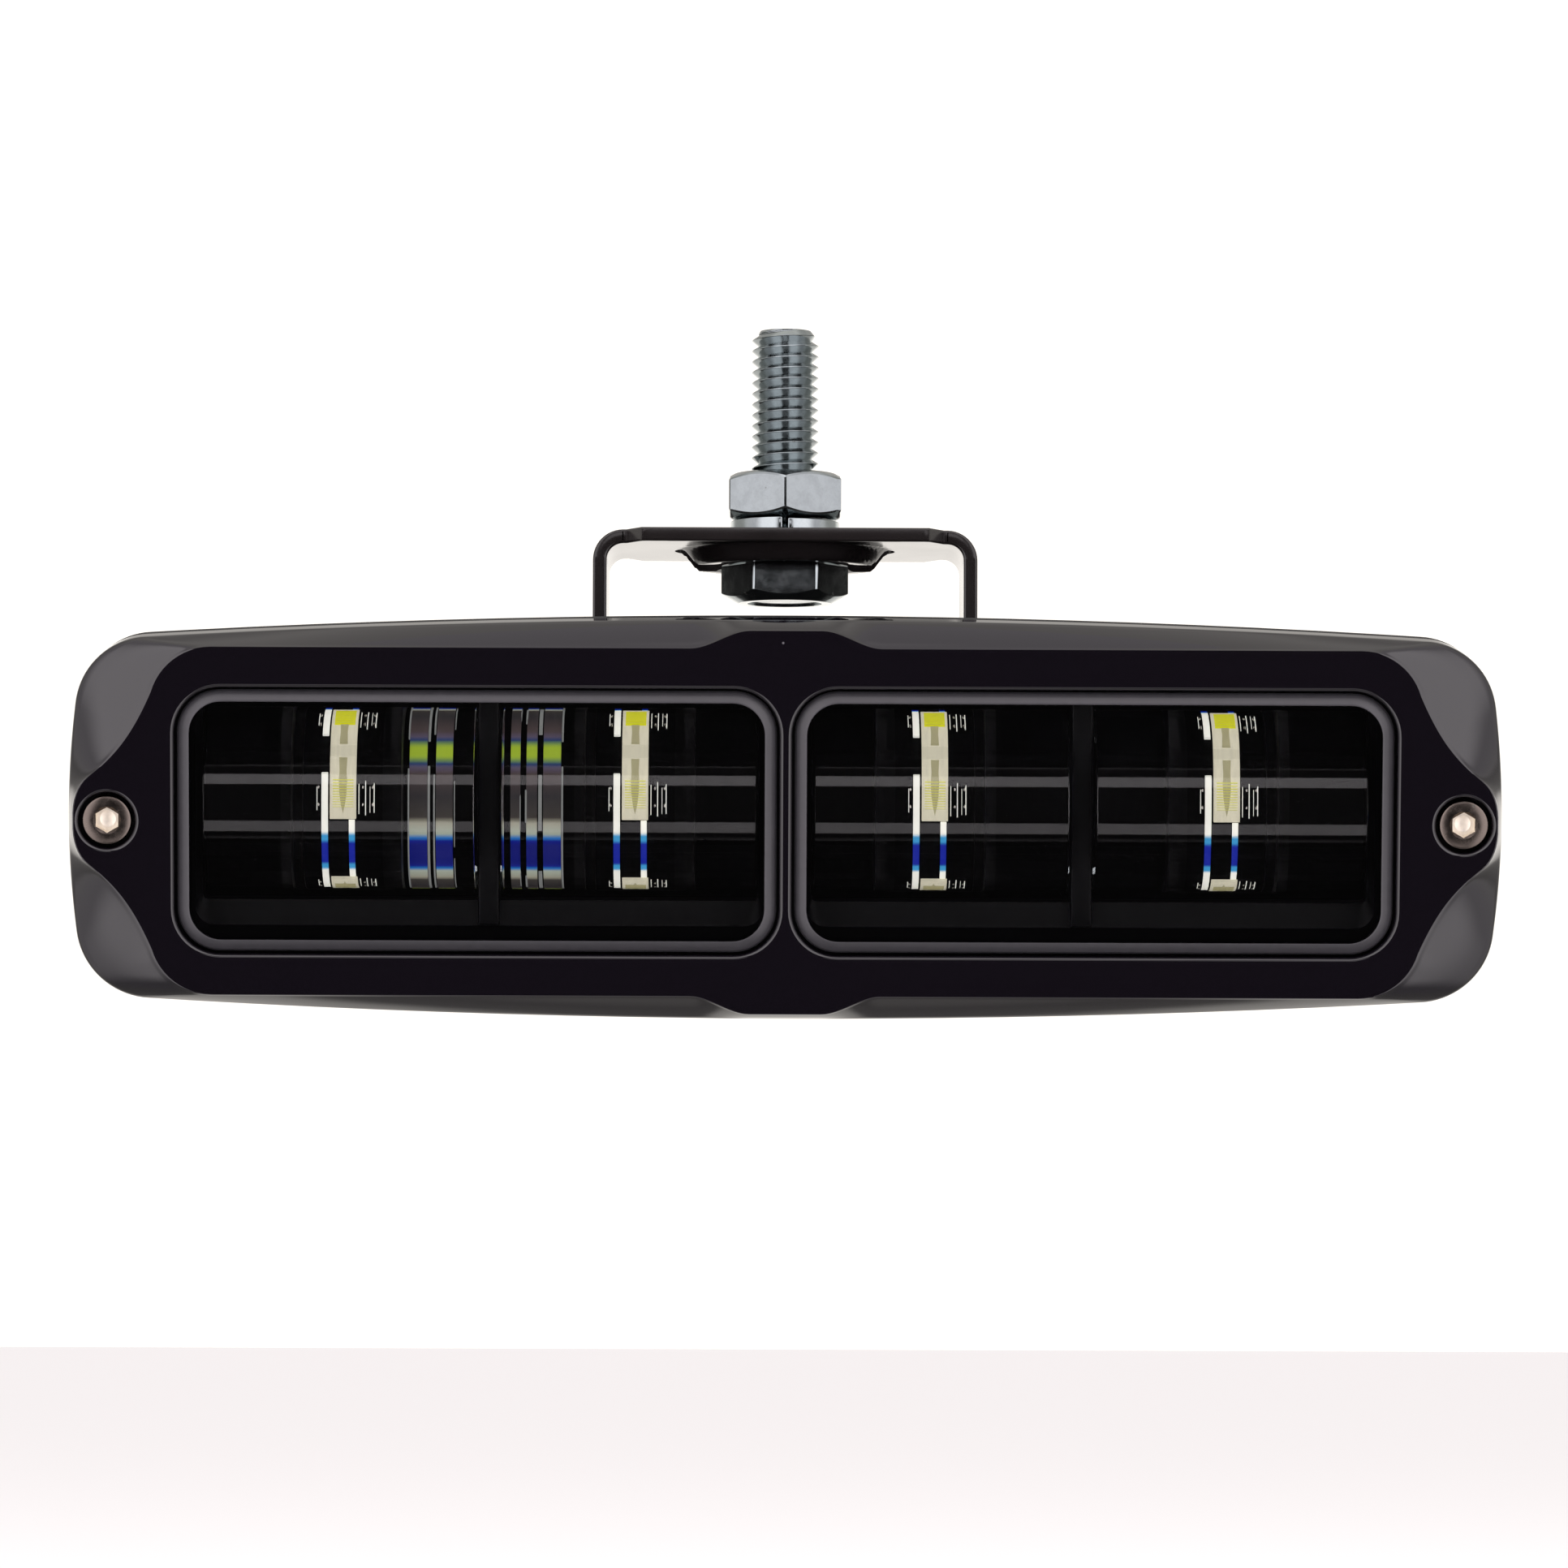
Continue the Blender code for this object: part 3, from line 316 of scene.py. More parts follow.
    @staticmethod
    def block(low: Sequence[float], high: Sequence[float]) -> bpy.types.Object:
        """Box between two corners, from a cube primitive.

        Args:
            low: Lowest corner.
            high: Highest corner.

        Returns:
            The box.
        """
        Shop.put_down()
        middle = [(a + b) / 2 for a, b in zip(low, high)]
        size = [b - a for a, b in zip(low, high)]
        bpy.ops.mesh.primitive_cube_add(size=1.0, location=middle, scale=size)
        return Shop.bake_place(bpy.context.object)

    @staticmethod
    def bake_place(obj: bpy.types.Object) -> bpy.types.Object:
        """Move an object's transform into its mesh."""
        Shop.pick_up(obj)
        bpy.ops.object.transform_apply(location=True, rotation=True, scale=True)
        return obj

    @staticmethod
    def apply(obj: bpy.types.Object) -> bpy.types.Object:
        """Apply every modifier of obj, in order."""
        Shop.pick_up(obj)
        for modifier in list(obj.modifiers):
            bpy.ops.object.modifier_apply(modifier=modifier.name)
        return obj

    @staticmethod
    def work(obj: bpy.types.Object, tool: bpy.types.Object, how: Join) -> bpy.types.Object:
        """Cut, weld or intersect obj with a tool solid, which is used up.

        Args:
            obj: The piece.
            tool: The other solid.
            how: The operation.

        Returns:
            The changed piece.
        """
        modifier = obj.modifiers.new("work", "BOOLEAN")
        modifier.operation = how.value
        modifier.solver = "EXACT"
        modifier.object = tool
        Shop.apply(obj)
        bpy.data.objects.remove(tool, do_unlink=True)
        return obj

    @staticmethod
    def soften(
        obj: bpy.types.Object,
        width: float,
        segments: int = 2,
        above: float = 35.0,
    ) -> bpy.types.Object:
        """Round the edges that are sharper than an angle.

        Args:
            obj: The piece.
            width: Width of the rounding.
            segments: Facets across it.
            above: Smallest edge angle, in degrees, that is rounded.

        Returns:
            The changed piece.
        """
        modifier = obj.modifiers.new("soften", "BEVEL")
        modifier.width = width
        modifier.segments = segments
        modifier.limit_method = "ANGLE"
        modifier.angle_limit = math.radians(above)
        modifier.harden_normals = False
        return Shop.apply(obj)

    @staticmethod
    def load(obj: bpy.types.Object, finishes: Sequence[Finish]) -> None:
        """Make the finishes' materials the only ones that obj has."""
        obj.data.materials.clear()
        for finish in finishes:
            obj.data.materials.append(finish.material())

    @staticmethod
    def coat(obj: bpy.types.Object, finishes: Sequence[Finish], index: int) -> bpy.types.Object:
        """Give an object a list of finishes and all its faces one of them.

        Args:
            obj: The piece.
            finishes: The finishes.
            index: Which one the faces take.

        Returns:
            The piece.
        """
        Shop.load(obj, finishes)
        obj.data.polygons.foreach_set("material_index", [index] * len(obj.data.polygons))
        return obj

    @staticmethod
    def gather(objects: Sequence[bpy.types.Object]) -> bpy.types.Object:
        """Join several solids into one object.

        Args:
            objects: The solids; the first one keeps its name.

        Returns:
            The joined object.
        """
        Shop.pick_up(objects[0])
        for other in objects[1:]:
            other.select_set(True)
        bpy.ops.object.join()
        return objects[0]

    @staticmethod
    def paint_where(
        obj: bpy.types.Object, slot: int, test: Callable[[Vector, Vector], bool]
    ) -> None:
        """Give a material slot to the faces that pass a test.

        Args:
            obj: The piece.
            slot: Index of the material slot.
            test: Called with a face's centre and normal.
        """
        for face in obj.data.polygons:
            if test(face.center, face.normal):
                face.material_index = slot

    @staticmethod
    def hand_over(
        obj: bpy.types.Object,
        name: str,
        slot: str,
        finishes: Sequence[Finish],
        stands_for: str = "",
        body: Body = Body.LAMP,
        smooth: float = 32.0,
    ) -> bpy.types.Object:
        """Name, place, shade and paint a finished piece and hang it on its body.

        Args:
            obj: The finished mesh object, in its body's own frame.
            name: Name of the piece.
            slot: The record's material slot; not used.
            finishes: Finishes, one per material index.
            stands_for: CAD node that it replaces, if any.
            body: The body it rides on.
            smooth: Angle, in degrees, below which edges are shaded smooth.

        Returns:
            The piece.
        """
        Shop.pick_up(obj)
        obj.name = name
        obj.data.name = name
        obj.data.transform(body.place)
        indices = [face.material_index for face in obj.data.polygons]
        Shop.load(obj, finishes)
        obj.data.polygons.foreach_set("material_index", indices)
        bpy.ops.object.shade_smooth_by_angle(angle=math.radians(smooth))
        even = obj.modifiers.new("even_shading", "WEIGHTED_NORMAL")
        even.keep_sharp = True
        Shop.apply(obj)
        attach(obj, body.value)
        if stands_for:
            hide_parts(stands_for)
        LOG.info("%s: %d faces on %s", name, len(obj.data.polygons), body.value)
        return obj


# ------------------------------------------------------------------ finishes
class Signal:
    """A number in a shader; arithmetic on it adds Math nodes."""

    def __init__(self, paint: Paint, socket: bpy.types.NodeSocket) -> None:
        """Wrap one output socket of a node tree."""
        self.paint = paint
        self.socket = socket

    def _maths(self, operation: str, first: Any, second: Any) -> Signal:
        """Add one Math node and return its output."""
        node = self.paint.add("ShaderNodeMath", {"operation": operation}, {0: first, 1: second})
        return Signal(self.paint, node.outputs[0])

    def __add__(self, other: Any) -> Signal:
        """Sum."""
        return self._maths("ADD", self, other)

    __radd__ = __add__

    def __sub__(self, other: Any) -> Signal:
        """Difference."""
        return self._maths("SUBTRACT", self, other)

    def __rsub__(self, other: Any) -> Signal:
        """Reflected difference."""
        return self._maths("SUBTRACT", other, self)

    def __mul__(self, other: Any) -> Signal:
        """Product."""
        return self._maths("MULTIPLY", self, other)

    __rmul__ = __mul__

    def __truediv__(self, other: Any) -> Signal:
        """Quotient."""
        return self._maths("DIVIDE", self, other)

    def __abs__(self) -> Signal:
        """Absolute value."""
        return self._maths("ABSOLUTE", self, 0.0)

    def step(self, low: float, high: float) -> Signal:
        """Smooth step from 0 at low to 1 at high."""
        sockets = {0: self, 1: low, 2: high, 3: 0.0, 4: 1.0}
        node = self.paint.add("ShaderNodeMapRange", {"interpolation_type": "SMOOTHSTEP"}, sockets)
        return Signal(self.paint, node.outputs[0])

    def window(self, low: Point2, high: Point2) -> Signal:
        """1 between two smooth steps, 0 outside them."""
        return self.step(*low) * (1.0 - self.step(*high))


class Paint:
    """Node tree of one material or of the world, built call by call."""

    def __init__(self, tree: bpy.types.NodeTree) -> None:
        """Start from an empty tree."""
        self.tree = tree
        tree.nodes.clear()

    def add(self, kind: str, settings: dict[str, Any], sockets: dict[Any, Any]) -> bpy.types.Node:
        """Add a node, set its settings, then fill its sockets.

        Args:
            kind: The node's type name.
            settings: Attributes; "stops" sets a colour ramp's stops.
            sockets: Socket names or numbers with values, sockets or signals.

        Returns:
            The new node.
        """
        node = self.tree.nodes.new(kind)
        for key, value in settings.items():
            if key == "stops":
                ramp = node.color_ramp
                while len(ramp.elements) < len(value):
                    ramp.elements.new(0.5)
                for element, (place, colour) in zip(ramp.elements, value):
                    element.position = place
                    element.color = (*colour, 1.0)
            else:
                setattr(node, key, value)
        for key, value in sockets.items():
            target = node.inputs[key]
            value = value.socket if isinstance(value, Signal) else value
            if isinstance(value, bpy.types.NodeSocket):
                self.tree.links.new(value, target)
            else:
                target.default_value = value
        return node

    def place(self) -> bpy.types.NodeSocket:
        """Object coordinates."""
        return self.add("ShaderNodeTexCoord", {}, {}).outputs["Object"]

    def parts(self, vector: bpy.types.NodeSocket) -> list[Signal]:
        """X, Y and Z of a vector."""
        node = self.add("ShaderNodeSeparateXYZ", {}, {0: vector})
        return [Signal(self, socket) for socket in node.outputs]

    def board_height(self) -> Signal:
        """Millimetres up the board from the light sources' level."""
        return (self.parts(self.place())[2] - BOARD_LEVEL) / (math.cos(REST_TILT) * MM)

    def noise(self, scale: float, detail: float) -> Signal:
        """Noise of about 1/scale metres."""
        sockets = {"Vector": self.place(), "Scale": scale, "Detail": detail}
        return Signal(self, self.add("ShaderNodeTexNoise", {}, sockets).outputs[0])

    def specks(self, scale: float, size: float) -> Signal:
        """Sparse round specks: 1 inside a speck, 0 elsewhere."""
        cells = self.add("ShaderNodeTexVoronoi", {}, {"Vector": self.place(), "Scale": scale})
        near = Signal(self, cells.outputs["Distance"])
        pick = self.add("ShaderNodeSeparateColor", {}, {0: cells.outputs["Color"]})
        chosen = Signal(self, pick.outputs[0]).step(0.86, 0.9)
        return (1.0 - near.step(size * 0.6, size)) * chosen

    def blend(
        self, share: Signal, first: Colour | bpy.types.NodeSocket, second: Colour
    ) -> bpy.types.NodeSocket:
        """Colour between two colours; the first may be a socket."""
        start = first if isinstance(first, bpy.types.NodeSocket) else (*first, 1.0)
        sockets = {0: share, 6: start, 7: (*second, 1.0)}
        return self.add("ShaderNodeMix", {"data_type": "RGBA"}, sockets).outputs[2]

    def bump(self, height: Signal, strength: float, depth: float) -> bpy.types.NodeSocket:
        """Normal from a height signal; depth in metres."""
        sockets = {"Height": height, "Strength": strength, "Distance": depth}
        return self.add("ShaderNodeBump", {}, sockets).outputs[0]

    def surface(self, shader: bpy.types.NodeSocket) -> None:
        """Connect the finished shader to the material's output."""
        self.add("ShaderNodeOutputMaterial", {}, {"Surface": shader})

    def principled(self, sockets: dict[str, Any]) -> None:
        """Finish the material with a Principled shader."""
        self.surface(self.add("ShaderNodeBsdfPrincipled", {}, sockets).outputs[0])


@dataclass(frozen=True)
class Finish:
    """A painted, plated or moulded surface; subclasses draw their own nodes."""

    name: str
    colour: Colour
    roughness: float
    metallic: float = 0.0

    def material(self) -> bpy.types.Material:
        """Return the material, made on first use."""
        found = bpy.data.materials.get(self.name)
        if found is not None:
            return found
        made = bpy.data.materials.new(self.name)
        made.use_nodes = True
        made.diffuse_color = (*self.colour, 1.0)
        self.draw(Paint(made.node_tree))
        return made

    def draw(self, paint: Paint) -> None:
        """Fill the node tree with an even, faintly uneven surface."""
        self.grained(paint, paint.noise(900.0, 4.0), spread=0.06, strength=0.05)

    def grained(
        self,
        paint: Paint,
        grain: Signal,
        spread: float,
        strength: float,
        extra: dict[str, Any] | None = None,
    ) -> None:
        """Connect a Principled shader whose colour and gloss follow a grain.

        Args:
            paint: The tree.
            grain: Signal between 0 and 1.
            spread: How far the roughness varies.
            strength: Strength of the bump.
            extra: More socket values.
        """
        light = tuple(min(1.0, channel * 1.15 + 0.002) for channel in self.colour)
        sockets: dict[Any, Any] = {
            "Base Color": paint.blend(grain, self.shade(0.85), light),
            "Roughness": grain * spread + (self.roughness - spread / 2),
            "Metallic": self.metallic,
            "Normal": paint.bump(grain, strength, 0.02 * MM),
        }
        paint.principled(sockets | (extra or {}))

    def shade(self, share: float) -> Colour:
        """The finish's colour, darker or lighter."""
        return tuple(channel * share for channel in self.colour)


@dataclass(frozen=True)
class GlossPlastic(Finish):
    """Polished moulded plastic with faint waviness and a little dust."""

    def draw(self, paint: Paint) -> None:
        """Mirror-like black with a few faint specks of dust."""
        wave = paint.noise(60.0, 1.0)
        dust = paint.specks(260.0, 0.045)
        sockets = {
            "Base Color": paint.blend(dust, self.colour, (0.09, 0.085, 0.095)),
            "Roughness": dust * 0.4 + self.roughness,
            "Normal": paint.bump(wave, 0.08, 0.05 * MM),
            "IOR": 1.62,
        }
        paint.principled(sockets)


@dataclass(frozen=True)
class SatinBlack(Finish):
    """Dark moulding or mask that gives little back."""

    sheen_level: float = 0.35

    def draw(self, paint: Paint) -> None:
        """Fine grain with a weak reflection."""
        level = {"Specular IOR Level": self.sheen_level}
        self.grained(paint, paint.noise(1100.0, 3.0), 0.08, 0.06, level)


@dataclass(frozen=True)
class PowderCoat(Finish):
    """Semi-gloss black enamel with a fine orange peel."""

    def draw(self, paint: Paint) -> None:
        """Fine peel, with slight patches of different gloss."""
        peel = paint.noise(1400.0, 2.0)
        patches = paint.noise(90.0, 3.0)
        sockets = {
            "Base Color": paint.blend(patches, self.colour, self.shade(2.0)),
            "Roughness": patches * 0.08 + (self.roughness - 0.04),
            "Normal": paint.bump(peel, 0.16, 0.03 * MM),
            "IOR": 1.5,
        }
        paint.principled(sockets)


@dataclass(frozen=True)
class PlatedSteel(Finish):
    """Zinc-plated or polished steel with fine handling marks."""

    mottle: float = 700.0

    def draw(self, paint: Paint) -> None:
        """Cloudy plating with a few dull pits."""
        cloud = paint.noise(self.mottle, 5.0)
        fine = paint.noise(self.mottle * 5.0, 3.0)
        pits = paint.specks(900.0, 0.2)
        share = (cloud * 0.75 + fine * 0.25).step(0.3, 0.7)
        tone = paint.blend(share, self.shade(0.86), self.colour)
        sockets = {
            "Base Color": paint.blend(pits * 0.5, tone, (0.12, 0.12, 0.11)),
            "Roughness": share * 0.08 + pits * 0.2 + (self.roughness - 0.04),
            "Metallic": 1.0,
            "Normal": paint.bump(cloud + fine * 0.4, 0.14, 0.03 * MM),
        }
        paint.principled(sockets)


@dataclass(frozen=True)
class ThinPane(Finish):
    """Flat clear cover: what is behind shows unbent, and it mirrors a little."""

    def draw(self, paint: Paint) -> None:
        """Transparent and glossy, mixed by angle."""
        through = paint.add("ShaderNodeBsdfTransparent", {}, {"Color": (*self.colour, 1.0)})
        mirror = paint.add("ShaderNodeBsdfGlossy", {}, {
            "Color": (1.0, 1.0, 1.0, 1.0), "Roughness": self.roughness,
        })
        share = paint.add("ShaderNodeFresnel", {}, {"IOR": 1.4})
        inputs = [node.outputs[0] for node in (share, through, mirror)]
        mixed = paint.add("ShaderNodeMixShader", {}, dict(enumerate(inputs)))
        paint.surface(mixed.outputs[0])


@dataclass(frozen=True)
class LensPlastic(Finish):
    """Thick clear optical plastic that bends light."""

    ior: float = 1.6
    shader: str = "ShaderNodeBsdfGlass"

    def draw(self, paint: Paint) -> None:
        """One shader with constant values."""
        sockets = {"Color": (*self.colour, 1.0), "Roughness": self.roughness, "IOR": self.ior}
        paint.surface(paint.add(self.shader, {}, sockets).outputs[0])


@dataclass(frozen=True)
class CoatedLens(LensPlastic):
    """Lens surface that lets light through without mirroring any."""

    shader: str = "ShaderNodeBsdfRefraction"


@dataclass(frozen=True)
class Glowing(Finish):
    """A surface with painted glow: a little emission that stands in for light it would reflect."""

    strength: float = 1.0

    def draw(self, paint: Paint) -> None:
        """Even colour with a grainy powder look and painted glow (emission)."""
        grain = paint.noise(2500.0, 2.0)
        self.shine(paint, {
            "Base Color": paint.blend(grain, self.shade(0.2), self.shade(0.3)),
            "Roughness": grain * 0.1 + (self.roughness - 0.05),
            "Emission Color": paint.blend(grain, self.shade(0.8), self.colour),
        })

    def shine(self, paint: Paint, sockets: dict[str, Any]) -> None:
        """Connect a Principled shader that also gives light."""
        level = {"Roughness": self.roughness, "Emission Strength": self.strength}
        paint.principled(level | sockets)


@dataclass(frozen=True)
class Trace(Glowing):
    """Board trace with painted glow; its lower stretch runs into painted colour fringes of the
    lens, light blue then deep blue.
    """

    # Both blues are painted colour fringes of the lens, not the trace's own colour.
    middle: Colour = (0.03, 0.28, 0.55)
    tail: Colour = (0.0, 0.01, 0.30)

    def draw(self, paint: Paint) -> None:
        """Painted glow in warm white above, then painted lens fringes in light blue, then deep blue
        below.
        """
        height = paint.board_height()
        upper = paint.blend(height.step(-1.36, -1.2), self.middle, self.colour)
        tone = paint.blend(1.0 - height.step(-1.54, -1.44), upper, self.tail)
        self.shine(paint, {"Base Color": tone, "Emission Color": tone})


@dataclass(frozen=True)
class ChipFace(Glowing):
    """Chip and its surroundings, with painted glow: bands of colour from its foot to its head,
    partly the chip's own dark tones and partly painted colour fringes of the lens.
    """

    # The blue, violet, green and yellow bands are painted colour fringes of the lens; the dark
    # middle bands are the chip's own tone.
    tone_and_painted_fringe_bands: tuple[tuple[float, Colour], ...] = (
        (-1.6, (0.0, 0.003, 0.13)),
        (-1.52, (0.0, 0.006, 0.20)),
        (-1.44, (0.0, 0.12, 0.38)),
        (-1.32, (0.30, 0.34, 0.28)),
        (-0.95, (0.26, 0.25, 0.19)),
        (-0.7, (0.035, 0.030, 0.027)),
        (0.2, (0.022, 0.020, 0.022)),
        (1.0, (0.050, 0.036, 0.036)),
        (1.16, (0.07, 0.055, 0.09)),
        (1.24, (0.01, 0.03, 0.11)),
        (1.29, (0.10, 0.18, 0.06)),
        (1.34, (0.26, 0.36, 0.02)),
    )

    def draw(self, paint: Paint) -> None:
        """Colour ramp over the height above the light sources' level."""
        low, high = self.tone_and_painted_fringe_bands[0][0], self.tone_and_painted_fringe_bands[-1][0]
        share = (paint.board_height() - low) / (high - low)
        stops = [((level - low) / (high - low), colour) for level, colour in self.tone_and_painted_fringe_bands]
        tone = paint.add("ShaderNodeValToRGB", {"stops": stops}, {0: share}).outputs[0]
        self.shine(paint, {"Base Color": tone, "Emission Color": tone})


BEZEL_GLOSS = GlossPlastic("gloss_black_moulding", (0.004, 0.003, 0.005), 0.03)
GROUND_EDGE = Finish("pane_ground_edge", (0.042, 0.040, 0.046), 0.3)
BRACKET_COAT = PowderCoat("bracket_enamel", (0.009, 0.0075, 0.0075), 0.15)
CAST_PAINT = SatinBlack("housing_paint", (0.010, 0.010, 0.011), 0.58, 0.0, 0.2)
ZINC = PlatedSteel("zinc_plate", (0.37, 0.41, 0.42), 0.15, 1.0)
DARK_STEEL = PlatedSteel("dark_screw_steel", (0.15, 0.125, 0.11), 0.25, 1.0, 1200.0)
STAINLESS = PlatedSteel("stainless", (0.62, 0.58, 0.52), 0.16, 1.0, 1200.0)
# The socket steel is painted far brighter than the screw heads: its brightness is a painted
# highlight in the recess.
SOCKET_HIGHLIGHT = PlatedSteel("broached_socket", (1.0, 0.93, 0.82), 0.5, 1.0, 1500.0)
PANE_CLEAR = ThinPane("pane_clear", (0.98, 0.98, 0.98), 0.0)
LENS_CLEAR = LensPlastic("lens_clear", (1.0, 1.0, 1.0), 0.0)
LENS_BACK = CoatedLens("lens_back", (1.0, 1.0, 1.0), 0.0)
INNER_BLACK = SatinBlack("inner_black_moulding", (0.002, 0.002, 0.003), 0.4, 0.0, 0.1)
RUBBER = Finish("black_rubber", (0.01, 0.01, 0.01), 0.65)
NYLON = Finish("black_nylon", (0.014, 0.014, 0.014), 0.45)
VENT_GREY = Finish("vent_grey", (0.06, 0.06, 0.065), 0.5)
# The Glowing finishes from here to the chip edges carry painted glow: emission that stands in for
# light these parts would reflect.
PHOSPHOR = Glowing("phosphor_powder", (0.80, 0.80, 0.005), 0.5, 0.0, 0.8)
RESIN = Glowing("clear_resin", (0.60, 0.55, 0.32), 0.4, 0.0, 0.6)
CERAMIC = Glowing("white_ceramic", (0.92, 0.86, 0.66), 0.5, 0.0, 0.72)
TRACE = Trace("bright_trace", (0.86, 0.86, 0.78), 0.4, 0.0, 0.8)
CHIP_FACE = ChipFace("chip_face", (0.03, 0.028, 0.03), 0.45, 0.0, 0.9)
CHIP_EDGE = Glowing("chip_edge", (0.36, 0.37, 0.36), 0.4, 0.0, 0.55)
LEAD_FRAME = PlatedSteel("lead_frame", (0.8, 0.78, 0.72), 0.15, 1.0)
BOARD_BLACK = SatinBlack("board_mask", (0.002, 0.002, 0.003), 0.5, 0.0, 0.03)
PAD_GREY = Finish("heat_pad", (0.25, 0.28, 0.3), 0.8)
BOARD_GREEN = Finish("driver_mask", (0.02, 0.12, 0.05), 0.4)
FERRITE = Finish("ferrite", (0.05, 0.05, 0.055), 0.6)
CAN = PlatedSteel("capacitor_can", (0.75, 0.76, 0.78), 0.25, 1.0)


# ------------------------------------------------------------------ outlines
def across_corners(flats: float) -> float:
    """Width of a hexagon across its corners."""
    return 2 * flats / math.sqrt(3.0)


def ease(share: float) -> float:
    """Smooth rise from 0 to 1 that is flat at both ends."""
    share = max(0.0, min(1.0, share))
    return share * share * (3 - 2 * share)


def on_circle(centre: Point2, radius: float, degrees: float) -> Point2:
    """Point on a circle, anticlockwise from its right."""
    angle = math.radians(degrees)
    return (centre[0] + radius * math.cos(angle), centre[1] + radius * math.sin(angle))


def pulled(knots: Sequence[Point2], share: float) -> Point2:
    """Point at a share of the smooth curve that the knots pull."""
    points = [Vector(knot) for knot in knots]
    while len(points) > 1:
        points = [first.lerp(second, share) for first, second in zip(points, points[1:])]
    return (points[0].x, points[0].y)


def rim_steps(radius: float) -> Outline:
    """(growth, depth) pairs that round a rim, from the face inwards."""
    angles = [math.radians(18.0 * step) for step in range(6)]
    return [(radius * (1 - math.sin(a)), radius * (1 - math.cos(a))) for a in angles]


def section(points: Sequence[Point2], start: float = 0.0) -> Outline:
    """(radius, height) pairs in millimetres as metres, heights from start."""
    return [(radius * MM, start + height * MM) for radius, height in points]


def spaced(low: float, high: float, steps: int) -> list[float]:
    """Evenly spaced values after low, up to and including high."""
    return [low + (high - low) * (k + 1) / steps for k in range(steps)]


def four_quadrants(quadrant: Outline) -> Outline:
    """Mirror a top-to-right quadrant into a closed clockwise outline."""
    right_low = [(x, -z) for x, z in reversed(quadrant[:-1])]
    left_low = [(-x, -z) for x, z in quadrant[1:]]
    left_high = [(-x, z) for x, z in reversed(quadrant[1:-1])]
    return quadrant + right_low + left_low + left_high


def inset(points: Outline, distance: float) -> Outline:
    """Move a clockwise outline inwards along its normals.

    Args:
        points: The outline.
        distance: How far to move it.

    Returns:
        The moved outline.
    """
    moved = []
    count = len(points)
    for index, (x, z) in enumerate(points):
        before, after = points[index - 1], points[(index + 1) % count]
        run = Vector((after[0] - before[0], after[1] - before[1])).normalized()
        moved.append((x + run.y * distance, z - run.x * distance))
    return moved


def between(first: Outline, second: Outline, share: float) -> Outline:
    """Blend two matched outlines; share 0 gives the first."""
    return [
        ((1 - share) * a + share * c, (1 - share) * b + share * d)
        for (a, b), (c, d) in zip(first, second)
    ]


def rounded_rect(
    centre_x: float, width: float, height: float, radius: float, steps: int = 12
) -> Outline:
    """Clockwise rounded rectangle in the XZ plane."""
    half_w, half_h = width / 2 - radius, height / 2 - radius
    corners = (
        (-half_w, half_h, 180), (half_w, half_h, 90), (half_w, -half_h, 0), (-half_w, -half_h, -90),
    )
    return [
        on_circle((centre_x + x, z), radius, start - 90.0 * step / steps)
        for x, z, start in corners
        for step in range(steps + 1)
    ]


def at_depth(outline: Outline, y: float) -> list[tuple[float, float, float]]:
    """Put an XZ outline at a depth."""
    return [(x, y, z) for x, z in outline]


def along_x(outline: Outline, low: float, high: float) -> bpy.types.Object:
    """Extrude a (y, z) outline along X."""
    return Shop.skin([[(x, y, z) for y, z in outline] for x in (low, high)])


